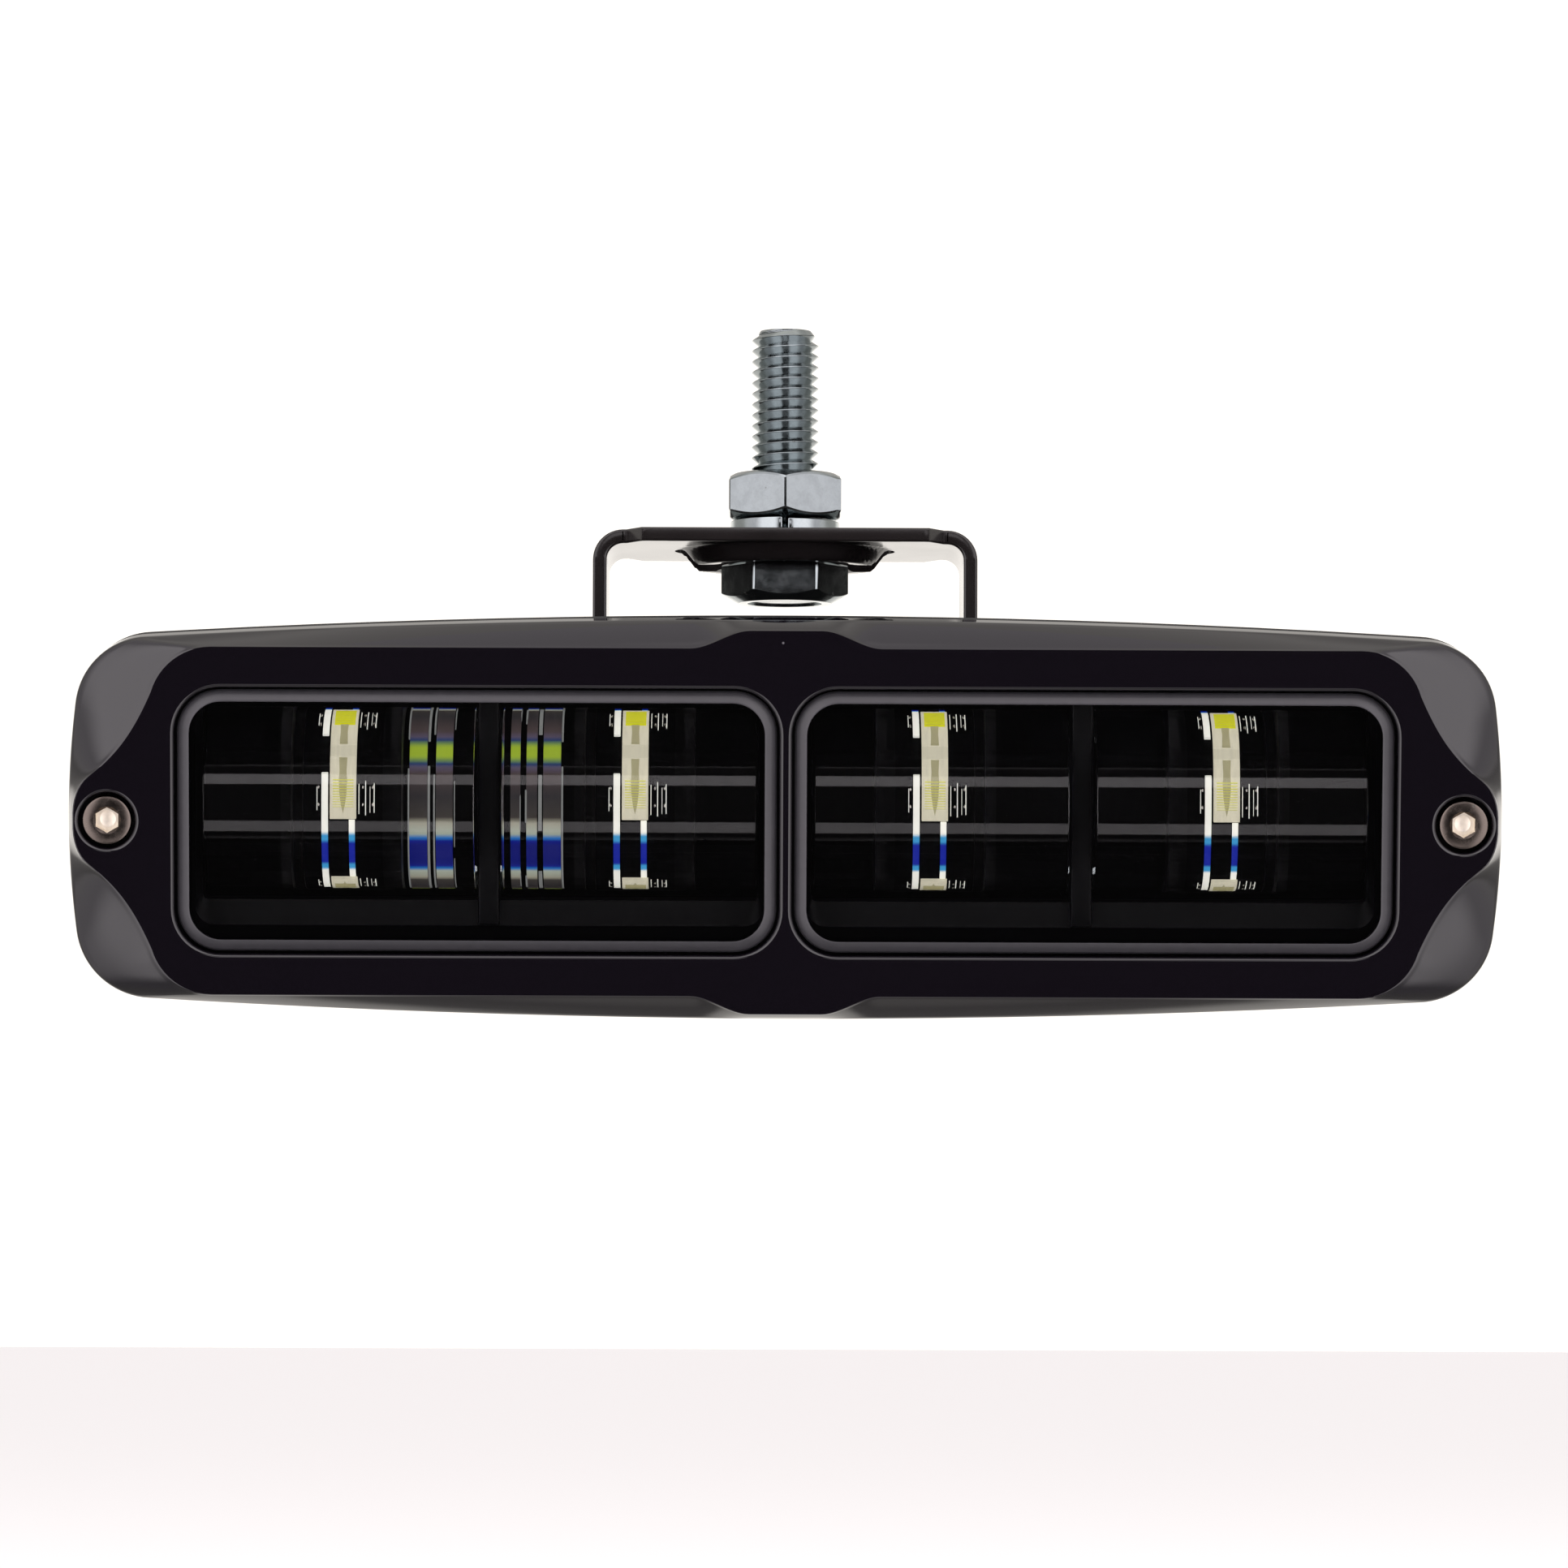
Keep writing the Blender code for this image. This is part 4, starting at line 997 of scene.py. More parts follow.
# --------------------------------------------------------------------- bezel
@dataclass
class Bezel:
    """Gloss-black front frame with its raised face, seats and recesses."""

    half_width: float = 80.1 * MM
    half_height: float = 22.45 * MM
    top_radius: float = 1200.0 * MM
    side_radius: float = 103.0 * MM
    corner_radius: float = 8.5 * MM
    face_half_height: float = 19.5 * MM
    bulge_half_height: float = 21.5 * MM
    bulge_flat: float = 4.0 * MM
    bulge_end: float = 10.7 * MM
    face_corner_x: float = 64.0 * MM
    face_corner_r: float = 7.0 * MM
    tip_half_height: float = 4.2 * MM
    face_y: float = -39.0 * MM
    edge_y: float = -36.0 * MM
    back_y: float = -32.5 * MM
    wall: float = 2.0 * MM
    window_x: float = 34.4 * MM
    screw_x: float = 75.6 * MM
    seat: tuple[float, float, float] = (67.4 * MM, 29.9 * MM, 5.1 * MM)
    opening: tuple[float, float, float] = (64.4 * MM, 27.2 * MM, 3.6 * MM)
    lip_r: float = 0.45 * MM
    corner_centre: Point2 = (70.86 * MM, 11.85 * MM)
    arc_ends: tuple[float, float] = (67.0 * MM, 71.3 * MM)
    side_start: float = 12.8 * MM
    slope: tuple[Point2, ...] = (
        (0.015, -0.06), (0.05, 0.02), (0.12, 0.11), (0.25, 0.27), (0.40, 0.44), (0.55, 0.59),
        (0.70, 0.73), (0.82, 0.83), (0.90, 0.895), (0.94, 0.93), (0.965, 0.96), (0.985, 0.98),
        (1.0, 0.993),
    )
    scoop: tuple[Point2, ...] = ((73.0, 9.2), (74.9, 7.2), (77.7, 4.9))
    nose: tuple[Point2, ...] = ((77.7, 4.9), (79.3, 3.6), (79.4, 0.9))

    def body_outline(self) -> Outline:
        """Outer outline: shallow arcs joined by corner arcs."""

        def top(x: float) -> Point2:
            return (x, self.half_height - x * x / (2 * self.top_radius))

        def side(z: float) -> Point2:
            return (self.half_width - z * z / (2 * self.side_radius), z)

        def corner(degrees: float) -> Point2:
            return on_circle(self.corner_centre, self.corner_radius, degrees)

        first, last = self.arc_ends
        quadrant = [top(0.0)]
        quadrant += [top(x) for x in spaced(0.0, self.bulge_flat, 4)]
        quadrant += [top(x) for x in spaced(self.bulge_flat, self.bulge_end, 12)]
        quadrant += [top(x) for x in spaced(self.bulge_end, first, 8)]
        quadrant += [top(x) for x in spaced(first, last, 2)]
        quadrant += [corner(a) for a in spaced(86.6, 44.0, 10)]
        quadrant += [corner(a) for a in spaced(44.0, 7.0, 9)]
        quadrant += [side(z) for z in spaced(self.side_start, self.tip_half_height, 13)]
        quadrant += [side(z) for z in spaced(self.tip_half_height, 0.0, 8)]
        return four_quadrants(quadrant)

    def face_outline(self) -> Outline:
        """Outline of the raised face, matched point for point to the body."""
        high, flat = self.bulge_half_height, self.face_half_height
        centre = (self.face_corner_x, flat - self.face_corner_r)

        def bulge(x: float) -> Point2:
            share = (x - self.bulge_flat) / (self.bulge_end - self.bulge_flat)
            return (x, high + (flat - high) * ease(share))

        corner = [on_circle(centre, self.face_corner_r, a) for a in spaced(90.0, 16.0, 12)]
        scoop = [corner[-1]] + section(self.scoop)
        nose = section(self.nose)
        quadrant = [(0.0, high)]
        quadrant += [(x, high) for x in spaced(0.0, self.bulge_flat, 4)]
        quadrant += [bulge(x) for x in spaced(self.bulge_flat, self.bulge_end, 12)]
        quadrant += [(x, flat) for x in spaced(self.bulge_end, self.face_corner_x, 8)]
        quadrant += corner
        quadrant += [pulled(scoop, s) for s in spaced(0.0, 1.0, 22)]
        quadrant += [pulled(nose, s) for s in spaced(0.0, 1.0, 7)]
        quadrant += [(nose[-1][0], 0.0)]
        return four_quadrants(quadrant)

    def shell(self) -> bpy.types.Object:
        """Loft the frame from its inner wall round to the raised face."""
        outline, face = self.body_outline(), self.face_outline()
        lift = self.edge_y - self.face_y
        rings = [
            at_depth(inset(outline, self.wall + 0.4 * MM), self.face_y + 3.5 * MM),
            at_depth(inset(outline, self.wall), self.face_y + 3.9 * MM),
            at_depth(inset(outline, self.wall), self.back_y),
            at_depth(inset(outline, 0.15 * MM), self.back_y),
            at_depth(outline, self.back_y - 0.15 * MM),
            at_depth(outline, self.edge_y + 0.5 * MM),
        ]
        rings += [
            at_depth(between(outline, face, share), self.edge_y - depth * lift)
            for share, depth in self.slope
        ]
        rings += [at_depth(inset(face, step), self.face_y) for step in (0.12 * MM, 0.4 * MM)]
        return Shop.skin(rings)

    def window_cutter(self, side: Side) -> bpy.types.Object:
        """Tool for one window: rounded lip, seat, ledge and clear opening."""
        (width, height, radius), ledge = self.seat, self.opening
        lip = self.lip_r

        def ring(size: Sequence[float], deep: float) -> list[tuple[float, float, float]]:
            outline = rounded_rect(side.value * self.window_x, *size)
            return at_depth(outline, self.face_y + deep)

        rings = [ring((width + 2 * lip, height + 2 * lip, radius + 0.4 * MM), -1 * MM)]
        for grow, deep in rim_steps(lip):
            rings.append(ring((width + 2 * grow, height + 2 * grow, radius + grow), deep))
        rings += [ring(self.seat, 2.7 * MM), ring(ledge, 2.7 * MM), ring(ledge, 5.0 * MM)]
        return Shop.skin(rings)

    def recess_cutter(self, side: Side) -> bpy.types.Object:
        """Tool for one screw recess with a rounded rim."""
        centre = (side.value * self.screw_x, self.face_y, 0.0)
        radius, floor, bore = 3.15 * MM, 3.3 * MM, 1.7 * MM
        profile = [(0.0, -1 * MM), (radius + self.lip_r, -1 * MM)]
        profile += [(radius + grow, deep) for grow, deep in rim_steps(self.lip_r)]
        profile += [(radius, floor), (bore, floor), (bore, 8 * MM), (0.0, 8 * MM)]
        return Shop.turned(profile, Axis.Y, centre, 64)

    def build(self) -> None:
        """Make the bezel, with bosses behind its screws."""
        bezel = self.shell()
        boss = section([(0.0, -36.1), (3.4, -36.1), (3.4, -32.8), (0.0, -32.8)])
        for side in Side:
            x = side.value * (self.screw_x - 0.1 * MM)
            Shop.work(bezel, Shop.turned(boss, Axis.Y, (x, 0, 0), 48), Join.WELD)
        for side in Side:
            Shop.work(bezel, self.window_cutter(side), Join.CUT)
            Shop.work(bezel, self.recess_cutter(side), Join.CUT)
        Shop.hand_over(
            bezel, "bezel_moulding", "bezel_plastic", [BEZEL_GLOSS], "front_bezel", smooth=30.0
        )


# ------------------------------------------------------------ windows, optics
@dataclass
class Windows:
    """Clear panes with ground bevels."""

    window_x: float = 34.4 * MM
    back_y: float = -36.85 * MM
    bevel_y: float = -37.75 * MM
    front_y: float = -38.6 * MM

    def pane(self, side: Side) -> None:
        """One pane: flat front, bevelled border."""
        steps = (
            (66.8, 29.3, 4.8, self.back_y),
            (66.8, 29.3, 4.8, self.bevel_y),
            (66.4, 28.9, 4.6, self.bevel_y - 0.25 * MM),
            (64.5, 27.1, 3.8, self.front_y + 0.06 * MM),
            (64.1, 26.7, 3.6, self.front_y),
        )
        pane = Shop.skin([
            at_depth(rounded_rect(side.value * self.window_x, *(value * MM for value in size)), y)
            for *size, y in steps
        ])
        Shop.paint_where(pane, 1, lambda c, n: abs(n.y) < 0.97)
        Shop.hand_over(
            pane, "clear_pane_" + side.label, "clear_plastic", [PANE_CLEAR, GROUND_EDGE],
            "window_pane_" + side.label, smooth=20.0,
        )

    def build(self) -> None:
        """Make both panes."""
        for side in Side:
            self.pane(side)


@dataclass
class Optics:
    """Bar lenses, their carriers and the light sources behind them."""

    spans: tuple[Point2, ...] = ((-65.2, -34.8), (-31.8, -3.2), (3.2, 31.8), (34.8, 65.2))
    led_x: tuple[float, ...] = (-50.1, -17.0, 17.0, 50.1)
    half_height: float = 10.3 * MM
    lift: float = 1.2 * MM
    front: Surface = (11.386, 0.2033, 5.204e-5, 6.0e-7)
    back: Surface = (-60.0, 0.0, -3.974e-5, 0.0)
    apex_y: float = -35.475 * MM
    edge: float = 0.8 * MM
    led_lift: float = 0.3 * MM
    window_x: float = 34.4 * MM
    lens_x: float = 34.2 * MM
    bar_x: float = 33.3 * MM
    # Board strips: middle, half width, low end, high end and depth, in mm. They take the trace
    # finish with its painted glow; the thin ones stand in for stretched glints, as painted glints.
    traces: tuple[tuple[float, ...], ...] = (
        (-2.08, 0.37, -2.2, 0.95, 0.12),
        (0.99, 0.34, -2.2, -0.82, 0.12),
        (1.8, 0.04, -0.6, 0.6, 0.1),
        (2.55, 0.05, -0.65, 0.7, 0.1),
        (3.05, 0.03, -0.55, 0.5, 0.1),
        (3.52, 0.05, -0.55, 0.62, 0.1),
        (-2.95, 0.04, -0.45, 0.5, 0.1),
    )
    chip_spans: tuple[Point2, ...] = (
        (-42.6, -40.6), (-39.6, -37.7), (-31.1, -30.0), (-29.3, -28.1), (-27.4, -25.4),
    )
    chip_edges: tuple[tuple[float, ...], ...] = (
        (-42.7, 0.08, -2.3, 1.05),
        (-40.4, 0.13, -2.3, 1.1),
        (-39.8, 0.09, -2.3, 0.9),
        (-37.5, 0.05, -1.6, 0.7),
        (-30.0, 0.05, -1.2, 0.2),
        (-29.35, 0.1, -0.9, 0.4),
        (-27.75, 0.2, -1.2, 0.9),
        (-25.25, 0.1, -2.3, 1.1),
    )
    led_front_y: float = -19.65 * MM
    led_back_y: float = -18.95 * MM
    base_half: float = 1.49 * MM
    base_z: Point2 = (-1.08 * MM, 1.1 * MM)
    base_deep: float = 0.42 * MM
    ridges: int = 11
    ridge_low: float = -0.56
    ridge_step: float = 0.11
    bead_x: tuple[float, ...] = (-2.75, 2.25, 3.35)
    bead_z: Point2 = (-0.2, 0.5)

    @staticmethod
    def sag(height: float, surface: Surface) -> float:
        """Depth of a lens surface behind its apex.

        Args:
            height: Distance from the lens's axis.
            surface: Radius in mm, conic constant, fourth- and sixth-order terms.

        Returns:
            The depth in metres.
        """
        radius, conic, fourth, sixth = surface
        rise = height / MM
        curve = rise * rise / radius / (1 + math.sqrt(1 - (1 + conic) * (rise / radius) ** 2))
        return (curve + fourth * rise**4 + sixth * rise**6) * MM

    def lens(self, number: int) -> None:
        """One bar lens, rounded a little at its ends.

        Args:
            number: Which lens, from the left, from 0.
        """
        low, high = (value * MM for value in self.spans[number])
        half, lift = self.half_height, self.lift
        back_apex = self.apex_y + self.sag(half, self.front) + self.edge + self.sag(half, self.back)
        points = []
        for step in range(141):
            height = half * math.sin(math.pi / 2 * (2 * step / 140 - 1))
            points.append((self.apex_y + self.sag(height, self.front), height + lift))
        for step in range(61):
            height = half * (1 - 2 * step / 60)
            points.append((back_apex - self.sag(height, self.back), height + lift))
        lens = Shop.soften(along_x(points, low, high), 0.2 * MM, 2, 60.0)
        Shop.paint_where(lens, 1, lambda c, n: n.y > 0.5)
        label = str(number + 1)
        Shop.hand_over(
            lens, "bar_lens_" + label, "clear_plastic", [LENS_CLEAR, LENS_BACK],
            "cylinder_lens_" + label, smooth=30.0,
        )

    def carrier(self, side: Side) -> None:
        """Dark carrier of one window: flared mouth and a bar between lenses."""
        x, lens_x, middle = (side.value * at for at in (self.window_x, self.lens_x, self.bar_x))
        opening = rounded_rect(lens_x, 62.6 * MM, 22.2 * MM, 0.6 * MM)
        mouth = [(across, height + self.lift) for across, height in opening]
        outside = rounded_rect(x, 66.6 * MM, 29.8 * MM, 4.0 * MM)
        rings = [
            at_depth(outside, -35.2 * MM),
            at_depth(outside, -26.6 * MM),
            at_depth(mouth, -26.6 * MM),
            at_depth(mouth, -29.6 * MM),
            at_depth(rounded_rect(x, 63.9 * MM, 25.4 * MM, 2.2 * MM), -30.4 * MM),
            at_depth(rounded_rect(x, 64.3 * MM, 27.1 * MM, 3.5 * MM), -34.9 * MM),
            at_depth(rounded_rect(x, 64.5 * MM, 27.3 * MM, 3.6 * MM), -35.2 * MM),
        ]
        frame = Shop.skin(rings, closed=True)
        half = 1.2 * MM
        low, high = (middle - half, -31.5 * MM, -12.6 * MM), (middle + half, -26.7 * MM, 12.8 * MM)
        Shop.work(frame, Shop.soften(Shop.block(low, high), 0.3 * MM, 2), Join.WELD)
        Shop.hand_over(
            frame, "lens_carrier_" + side.label, "inner_plastic", [INNER_BLACK],
            "optic_frame_" + side.label,
        )

    def light_source(self, number: int) -> None:
        """One light source: dark base, white wall, yellow face, bright leads; all but the lead
        frame carry painted glow.

        Args:
            number: Which one, from the left, from 0.
        """
        x = self.led_x[number] * MM
        front, back, up = self.led_front_y, self.led_back_y, self.led_lift
        # Every finish here but the lead frame glows: painted glow in place of reflected light.
        finishes = [CERAMIC, PHOSPHOR, TRACE, LEAD_FRAME, RESIN]
        half, (low, high) = self.base_half, self.base_z
        base = Shop.block((x - half, back - self.base_deep, low + up), (x + half, back, high + up))
        pieces = [Shop.coat(Shop.soften(base, 0.04 * MM, 2), finishes, 0)]
        half = [(0.46, 1.08), (0.4, 0.85), (0.47, 0.5), (0.4, 0.0), (0.24, -0.45)]
        stem = half + [(0.0, -0.85)] + [(-across, height) for across, height in reversed(half)]
        wedge = Shop.skin([
            [(x + across * MM, back - deep, height * MM + up) for across, height in stem]
            for deep in (0.45 * MM, 0.3 * MM)
        ])
        pieces.append(Shop.coat(wedge, finishes, 4))
        for step in range(self.ridges):
            low = (self.ridge_low + self.ridge_step * step) * MM + up
            ridge = Shop.block(
                (x - 1.15 * MM, front + 0.16 * MM, low),
                (x + 1.2 * MM, back - 0.3 * MM, low + 0.012 * MM),
            )
            Shop.coat(ridge, finishes, 4)
            Shop.paint_where(ridge, 1, lambda c, n: n.z > 0.5)
            pieces.append(ridge)
        for middle, half_width, low, high, deep in self.traces:
            trace = self.strip(x, middle, half_width, low, high, deep)
            pieces.append(Shop.coat(trace, finishes, 2))
        bead = section([(0.0, -0.2), (0.07, -0.18), (0.11, -0.1), (0.12, 0.0), (0.0, 0.0)])
        for middle in self.bead_x:
            for height in self.bead_z:
                solder = Shop.turned(bead, Axis.Y, (x + middle * MM, back, height * MM), 16)
                pieces.append(Shop.coat(solder, finishes, 3))
        label = str(number + 1)
        source = Shop.gather(pieces)
        Shop.hand_over(source, "light_source_" + label, "phosphor", finishes, "led_" + label)

    def strip(
        self, x: float, middle: float, half_width: float, low: float, high: float, deep: float
    ) -> bpy.types.Object:
        """Raised strip on the board's face.

        Args:
            x: Where its place is counted from, in metres.
            middle: Its middle from there, in millimetres like the rest.
            half_width: Half of its width.
            low: Its lower end.
            high: Its upper end.
            deep: How far it stands out.

        Returns:
            The strip, with broken edges.
        """
        back = self.led_back_y
        block = Shop.block(
            (x + (middle - half_width) * MM, back - deep * MM, low * MM),
            (x + (middle + half_width) * MM, back, high * MM),
        )
        return Shop.soften(block, 0.02 * MM, 1)

    def chips(self) -> None:
        """Small flat parts on the board beside the left pair of light sources."""
        # Both chip finishes glow (painted glow), and the faces carry painted colour fringes of the
        # lens.
        finishes = [CHIP_FACE, CHIP_EDGE]
        back = self.led_back_y
        pieces = []
        for low, high in self.chip_spans:
            face = Shop.block((low * MM, back - 0.3 * MM, -2.3 * MM), (high * MM, back, 1.75 * MM))
            pieces.append(Shop.coat(Shop.soften(face, 0.05 * MM, 2), finishes, 0))
        for middle, half_width, low, high in self.chip_edges:
            edge = self.strip(0.0, middle, half_width, low, high, 0.4)
            pieces.append(Shop.coat(edge, finishes, 1))
        Shop.hand_over(Shop.gather(pieces), "board_chips", "metal_core_board", finishes)

    def build(self) -> None:
        """Make the lenses, carriers, light sources and chips."""
        self.chips()
        for number in range(4):
            self.lens(number)
            self.light_source(number)
        for side in Side:
            self.carrier(side)


# ----------------------------------------------------------- small fasteners
@dataclass(frozen=True)
class SocketScrew:
    """Socket-head screw with a hexagon recess."""

    name: str
    node: str
    head_d: float
    face: float
    seat: float
    shank_d: float
    tip: float
    socket: float
    axis: Axis
    centre: tuple[float, float, float]
    dome: float = 0.0
    finish: Finish = STAINLESS

    def build(self) -> None:
        """Turn the screw, sink its socket and hand it over."""
        way = 1.0 if self.tip > self.face else -1.0
        radius, shank, chamfer = self.head_d / 2, self.shank_d / 2, 0.4 * MM
        profile = [(0.0, self.face)] + self.crown(way)
        profile += [
            (radius, self.seat), (shank, self.seat), (shank, self.tip - way * chamfer),
            (shank - chamfer, self.tip), (0.0, self.tip),
        ]
        screw = Shop.turned(profile, self.axis, self.centre, 48)
        deep = self.face + way * 0.6 * abs(self.seat - self.face)
        low, high = sorted((self.face - way * MM, deep))
        Shop.work(screw, Shop.hexagon(self.socket, low, high, self.axis, self.centre), Join.CUT)
        mouth = across_corners(self.socket) / 2
        start, end = self.face - way * 0.5 * MM, self.face + way * 0.3 * MM
        lead_in = [(0.0, start), (mouth + 0.6 * MM, start), (mouth - 0.2 * MM, end), (0.0, end)]
        Shop.work(screw, Shop.turned(lead_in, self.axis, self.centre, 48), Join.CUT)
        bore, start = self.socket * 0.36, deep - way * 0.2 * MM
        drill = [(0.0, start), (bore, start), (bore, deep), (0.0, deep + way * 0.35 * MM)]
        Shop.work(screw, Shop.turned(drill, self.axis, self.centre, 32), Join.CUT)
        along = 0 if self.axis is Axis.X else 1

        def in_socket(middle: Vector, normal: Vector) -> bool:
            off = Vector(middle) - Vector(self.centre)
            depth = (off[along] + self.centre[along] - self.face) * way
            off[along] = 0.0
            inside = 0.05 * MM < depth < 0.9 * abs(self.seat - self.face)
            return off.length < self.socket * 0.56 and inside

        # The socket faces take the brighter socket steel, a painted highlight.
        Shop.paint_where(screw, 1, in_socket)
        Shop.hand_over(screw, self.name, "stainless_steel", [self.finish, SOCKET_HIGHLIGHT], self.node)

    def crown(self, way: float) -> Outline:
        """Rim of the head, from its face to its side: domed, or rounded a little.

        Args:
            way: 1 if the shank points along the axis, -1 if against it.

        Returns:
            (radius, height) pairs.
        """
        radius, rim = self.head_d / 2, 0.3 * MM
        if not self.dome:
            steps = ((radius - rim, 0.0), (radius - 0.3 * rim, 0.3 * rim), (radius, rim))
            return [(across, self.face + way * deep) for across, deep in steps]
        flat = 0.35 * radius
        angles = [math.radians(90.0 * step / 8) for step in range(1, 9)]
        return [
            (flat + (radius - flat) * math.sin(a), self.face + way * self.dome * (1 - math.cos(a)))
            for a in angles
        ]


@dataclass
class Fasteners:
    """Screws and washers that move with the lamp."""

    screw_x: float = 75.6 * MM
    bore: float = 2.7
    rings: tuple[tuple[str, str, float, Point2, Finish], ...] = (
        ("tilt_washer_", "pivot_washer_", 5.5, (22.25, 23.25), STAINLESS),
        ("slip_washer_", "friction_washer_", 6.5, (19.3, 20.4), NYLON),
    )

    def ring_on_x(
        self, name: str, node: str, radii: Point2, span: Point2, way: int, finish: Finish
    ) -> None:
        """One washer round the tilt axis, with rounded rims.

        Args:
            name: Name of the piece.
            node: CAD node that it replaces.
            radii: Inner and outer radius, in millimetres like the span.
            span: Start and end along X, on the right-hand side.
            way: 1 for the right-hand side, -1 for the left-hand one.
            finish: Its surface.
        """
        low, high = sorted(way * value for value in span)
        inner, outer = radii
        profile = section([(inner, low), (outer, low), (outer, high), (inner, high)])
        ring = Shop.soften(Shop.turned(profile, Axis.X), 0.15 * MM, 2)
        slot = "nylon" if finish is NYLON else "stainless_steel"
        Shop.hand_over(ring, name + Side(way).label, slot, [finish], node + Side(way).label)

    def build(self) -> None:
        """Make the bezel screws, pivot screws and their washers."""
        for side in Side:
            way, label = side.value, side.label
            SocketScrew(
                "end_screw_" + label, "bezel_screw_" + label, 5.5 * MM, -38.55 * MM, -35.75 * MM,
                2.9 * MM, -23.2 * MM, 2.5 * MM, Axis.Y, (way * self.screw_x, 0, 0), 0.0, DARK_STEEL,
            ).build()
            SocketScrew(
                "tilt_screw_" + label, "pivot_screw_" + label, 9.5 * MM, way * 26.1 * MM,
                way * 23.35 * MM, 4.8 * MM, way * 13.0 * MM, 3.0 * MM, Axis.X, ORIGIN, 2.2 * MM,
            ).build()
            for name, node, outer, span, finish in self.rings:
                self.ring_on_x(name, node, (self.bore, outer), span, way, finish)


# ------------------------------------------------------------------- housing
@dataclass
class Housing:
    """Cast housing with fins, trunnion block, studs and rear fittings."""

    rim_y: float = -31.5 * MM
    back_y: float = -15.2 * MM
    block_half: float = 19.2 * MM
    block_rear: float = 14.0 * MM
    fins: tuple[float, ...] = (31.0, 37.0, 43.0, 49.0, 55.0, 61.0, 67.0)
    fin_thick: float = 1.8 * MM
    fin_rear: float = -5.0 * MM
    stud_x: float = 33.3 * MM
    stud_z: float = 9.0 * MM
    gland_x: float = 6.5 * MM
    vent_x: float = -9.5 * MM
    gland: tuple[Point2, ...] = (
        (2.5, -3.0), (4.1, -3.0), (4.1, 0.1), (6.0, 0.1), (6.2, 0.3), (6.2, 2.2), (6.0, 2.4),
        (4.2, 2.6), (3.8, 2.8), (3.8, 7.0), (2.5, 7.0),
    )
    cap: tuple[Point2, ...] = (
        (4.0, 2.0), (6.5, 2.0), (6.5, 6.0), (6.1, 7.0), (5.3, 7.9), (4.3, 8.7), (3.6, 9.0),
        (2.6, 9.0), (2.6, 7.3), (4.0, 7.3),
    )
    plug: tuple[Point2, ...] = (
        (0.0, -3.0), (2.0, -3.0), (2.0, 0.1), (3.8, 0.1), (4.0, 0.3), (4.0, 1.3), (3.7, 1.8),
        (3.2, 2.0), (2.2, 2.0), (2.0, 1.7), (0.0, 1.7),
    )

    def dish(self, outline: Outline) -> bpy.types.Object:
        """Dish of the housing, with rounded rim, walls and back edge."""
        floor = self.back_y - 1.8 * MM
        steps = (
            (3.6, floor), (3.0, floor - 0.8 * MM), (2.8, self.rim_y), (0.3, self.rim_y),
            (0.12, self.rim_y + 0.2 * MM), (0.12, -28.9 * MM), (0.3, -28.7 * MM),
            (0.8, -28.45 * MM), (1.1, -28.1 * MM), (1.2, -27.7 * MM), (1.4, -18.3 * MM),
            (1.6, -17.5 * MM), (2.1, -16.8 * MM), (2.9, -16.1 * MM), (3.7, -15.55 * MM),
            (4.6, -15.27 * MM), (5.4, self.back_y),
        )
        return Shop.skin([at_depth(inset(outline, step * MM), y) for step, y in steps])

    def build(self, outline: Outline) -> None:
        """Make the housing from the bezel's outline.

        Args:
            outline: Outer outline of the lamp.
        """
        parts = [self.dish(outline)]
        root, rear, fin = self.back_y - 0.8 * MM, self.block_rear, self.fin_rear
        shoulder = fin - 3 * MM
        half_block = [(root, -16.0 * MM), (6.0 * MM, -15.0 * MM), (rear, -10.5 * MM)]
        half_fin = [(root, -15.6 * MM), (shoulder, -14.6 * MM), (fin, -12.0 * MM)]
        block, blade = (
            half + [(y, -z) for y, z in reversed(half)] for half in (half_block, half_fin)
        )
        trunnion = along_x(block, -self.block_half, self.block_half)
        parts.append(Shop.soften(trunnion, 0.9 * MM, 3, 18.0))
        stud = [(0.0, root), (2.9 * MM, root)] + section([(2.9, -9.9), (2.6, -9.6), (0.0, -9.6)])
        web = section([(0.0, 0.0), (7.2, 0.0), (6.6, 1.1), (0.0, 1.1)], root)
        for side in Side:
            for x in self.fins:
                middle, half = side.value * x * MM, self.fin_thick / 2
                plain = along_x(blade, middle - half, middle + half)
                parts.append(Shop.soften(plain, 0.4 * MM, 3, 18.0))
            post_x = side.value * self.stud_x
            for height in (-self.stud_z, self.stud_z):
                parts.append(Shop.turned(stud, Axis.Y, (post_x, 0, height), 40))
            parts.append(Shop.turned(web, Axis.Y, (post_x, 0, 0), 40))
        Shop.hand_over(
            Shop.gather(parts), "cast_housing", "cast_aluminium", [CAST_PAINT], "rear_housing",
            smooth=30.0,
        )
        self.fittings()

    def fittings(self) -> None:
        """Make the gland, its nut and the vent plug."""
        rear = self.block_rear
        at_gland, at_vent = (self.gland_x, 0, 0), (self.vent_x, 0, 0)
        body = Shop.turned(section(self.gland, rear), Axis.Y, at_gland, 64)
        Shop.hand_over(body, "gland_body", "nylon", [NYLON], "cable_gland")
        nut = Shop.hexagon(11.0 * MM, rear + 3 * MM, rear + 9 * MM, Axis.Y, at_gland)
        Shop.work(nut, Shop.turned(section(self.cap, rear), Axis.Y, at_gland, 64), Join.COMMON)
        Shop.soften(nut, 0.2 * MM, 2, 40.0)
        Shop.hand_over(nut, "gland_cap", "nylon", [NYLON], "gland_nut")
        vent = Shop.turned(section(self.plug, rear), Axis.Y, at_vent, 48)
        Shop.hand_over(vent, "vent_plug", "vent_plastic", [VENT_GREY], "breather_vent")


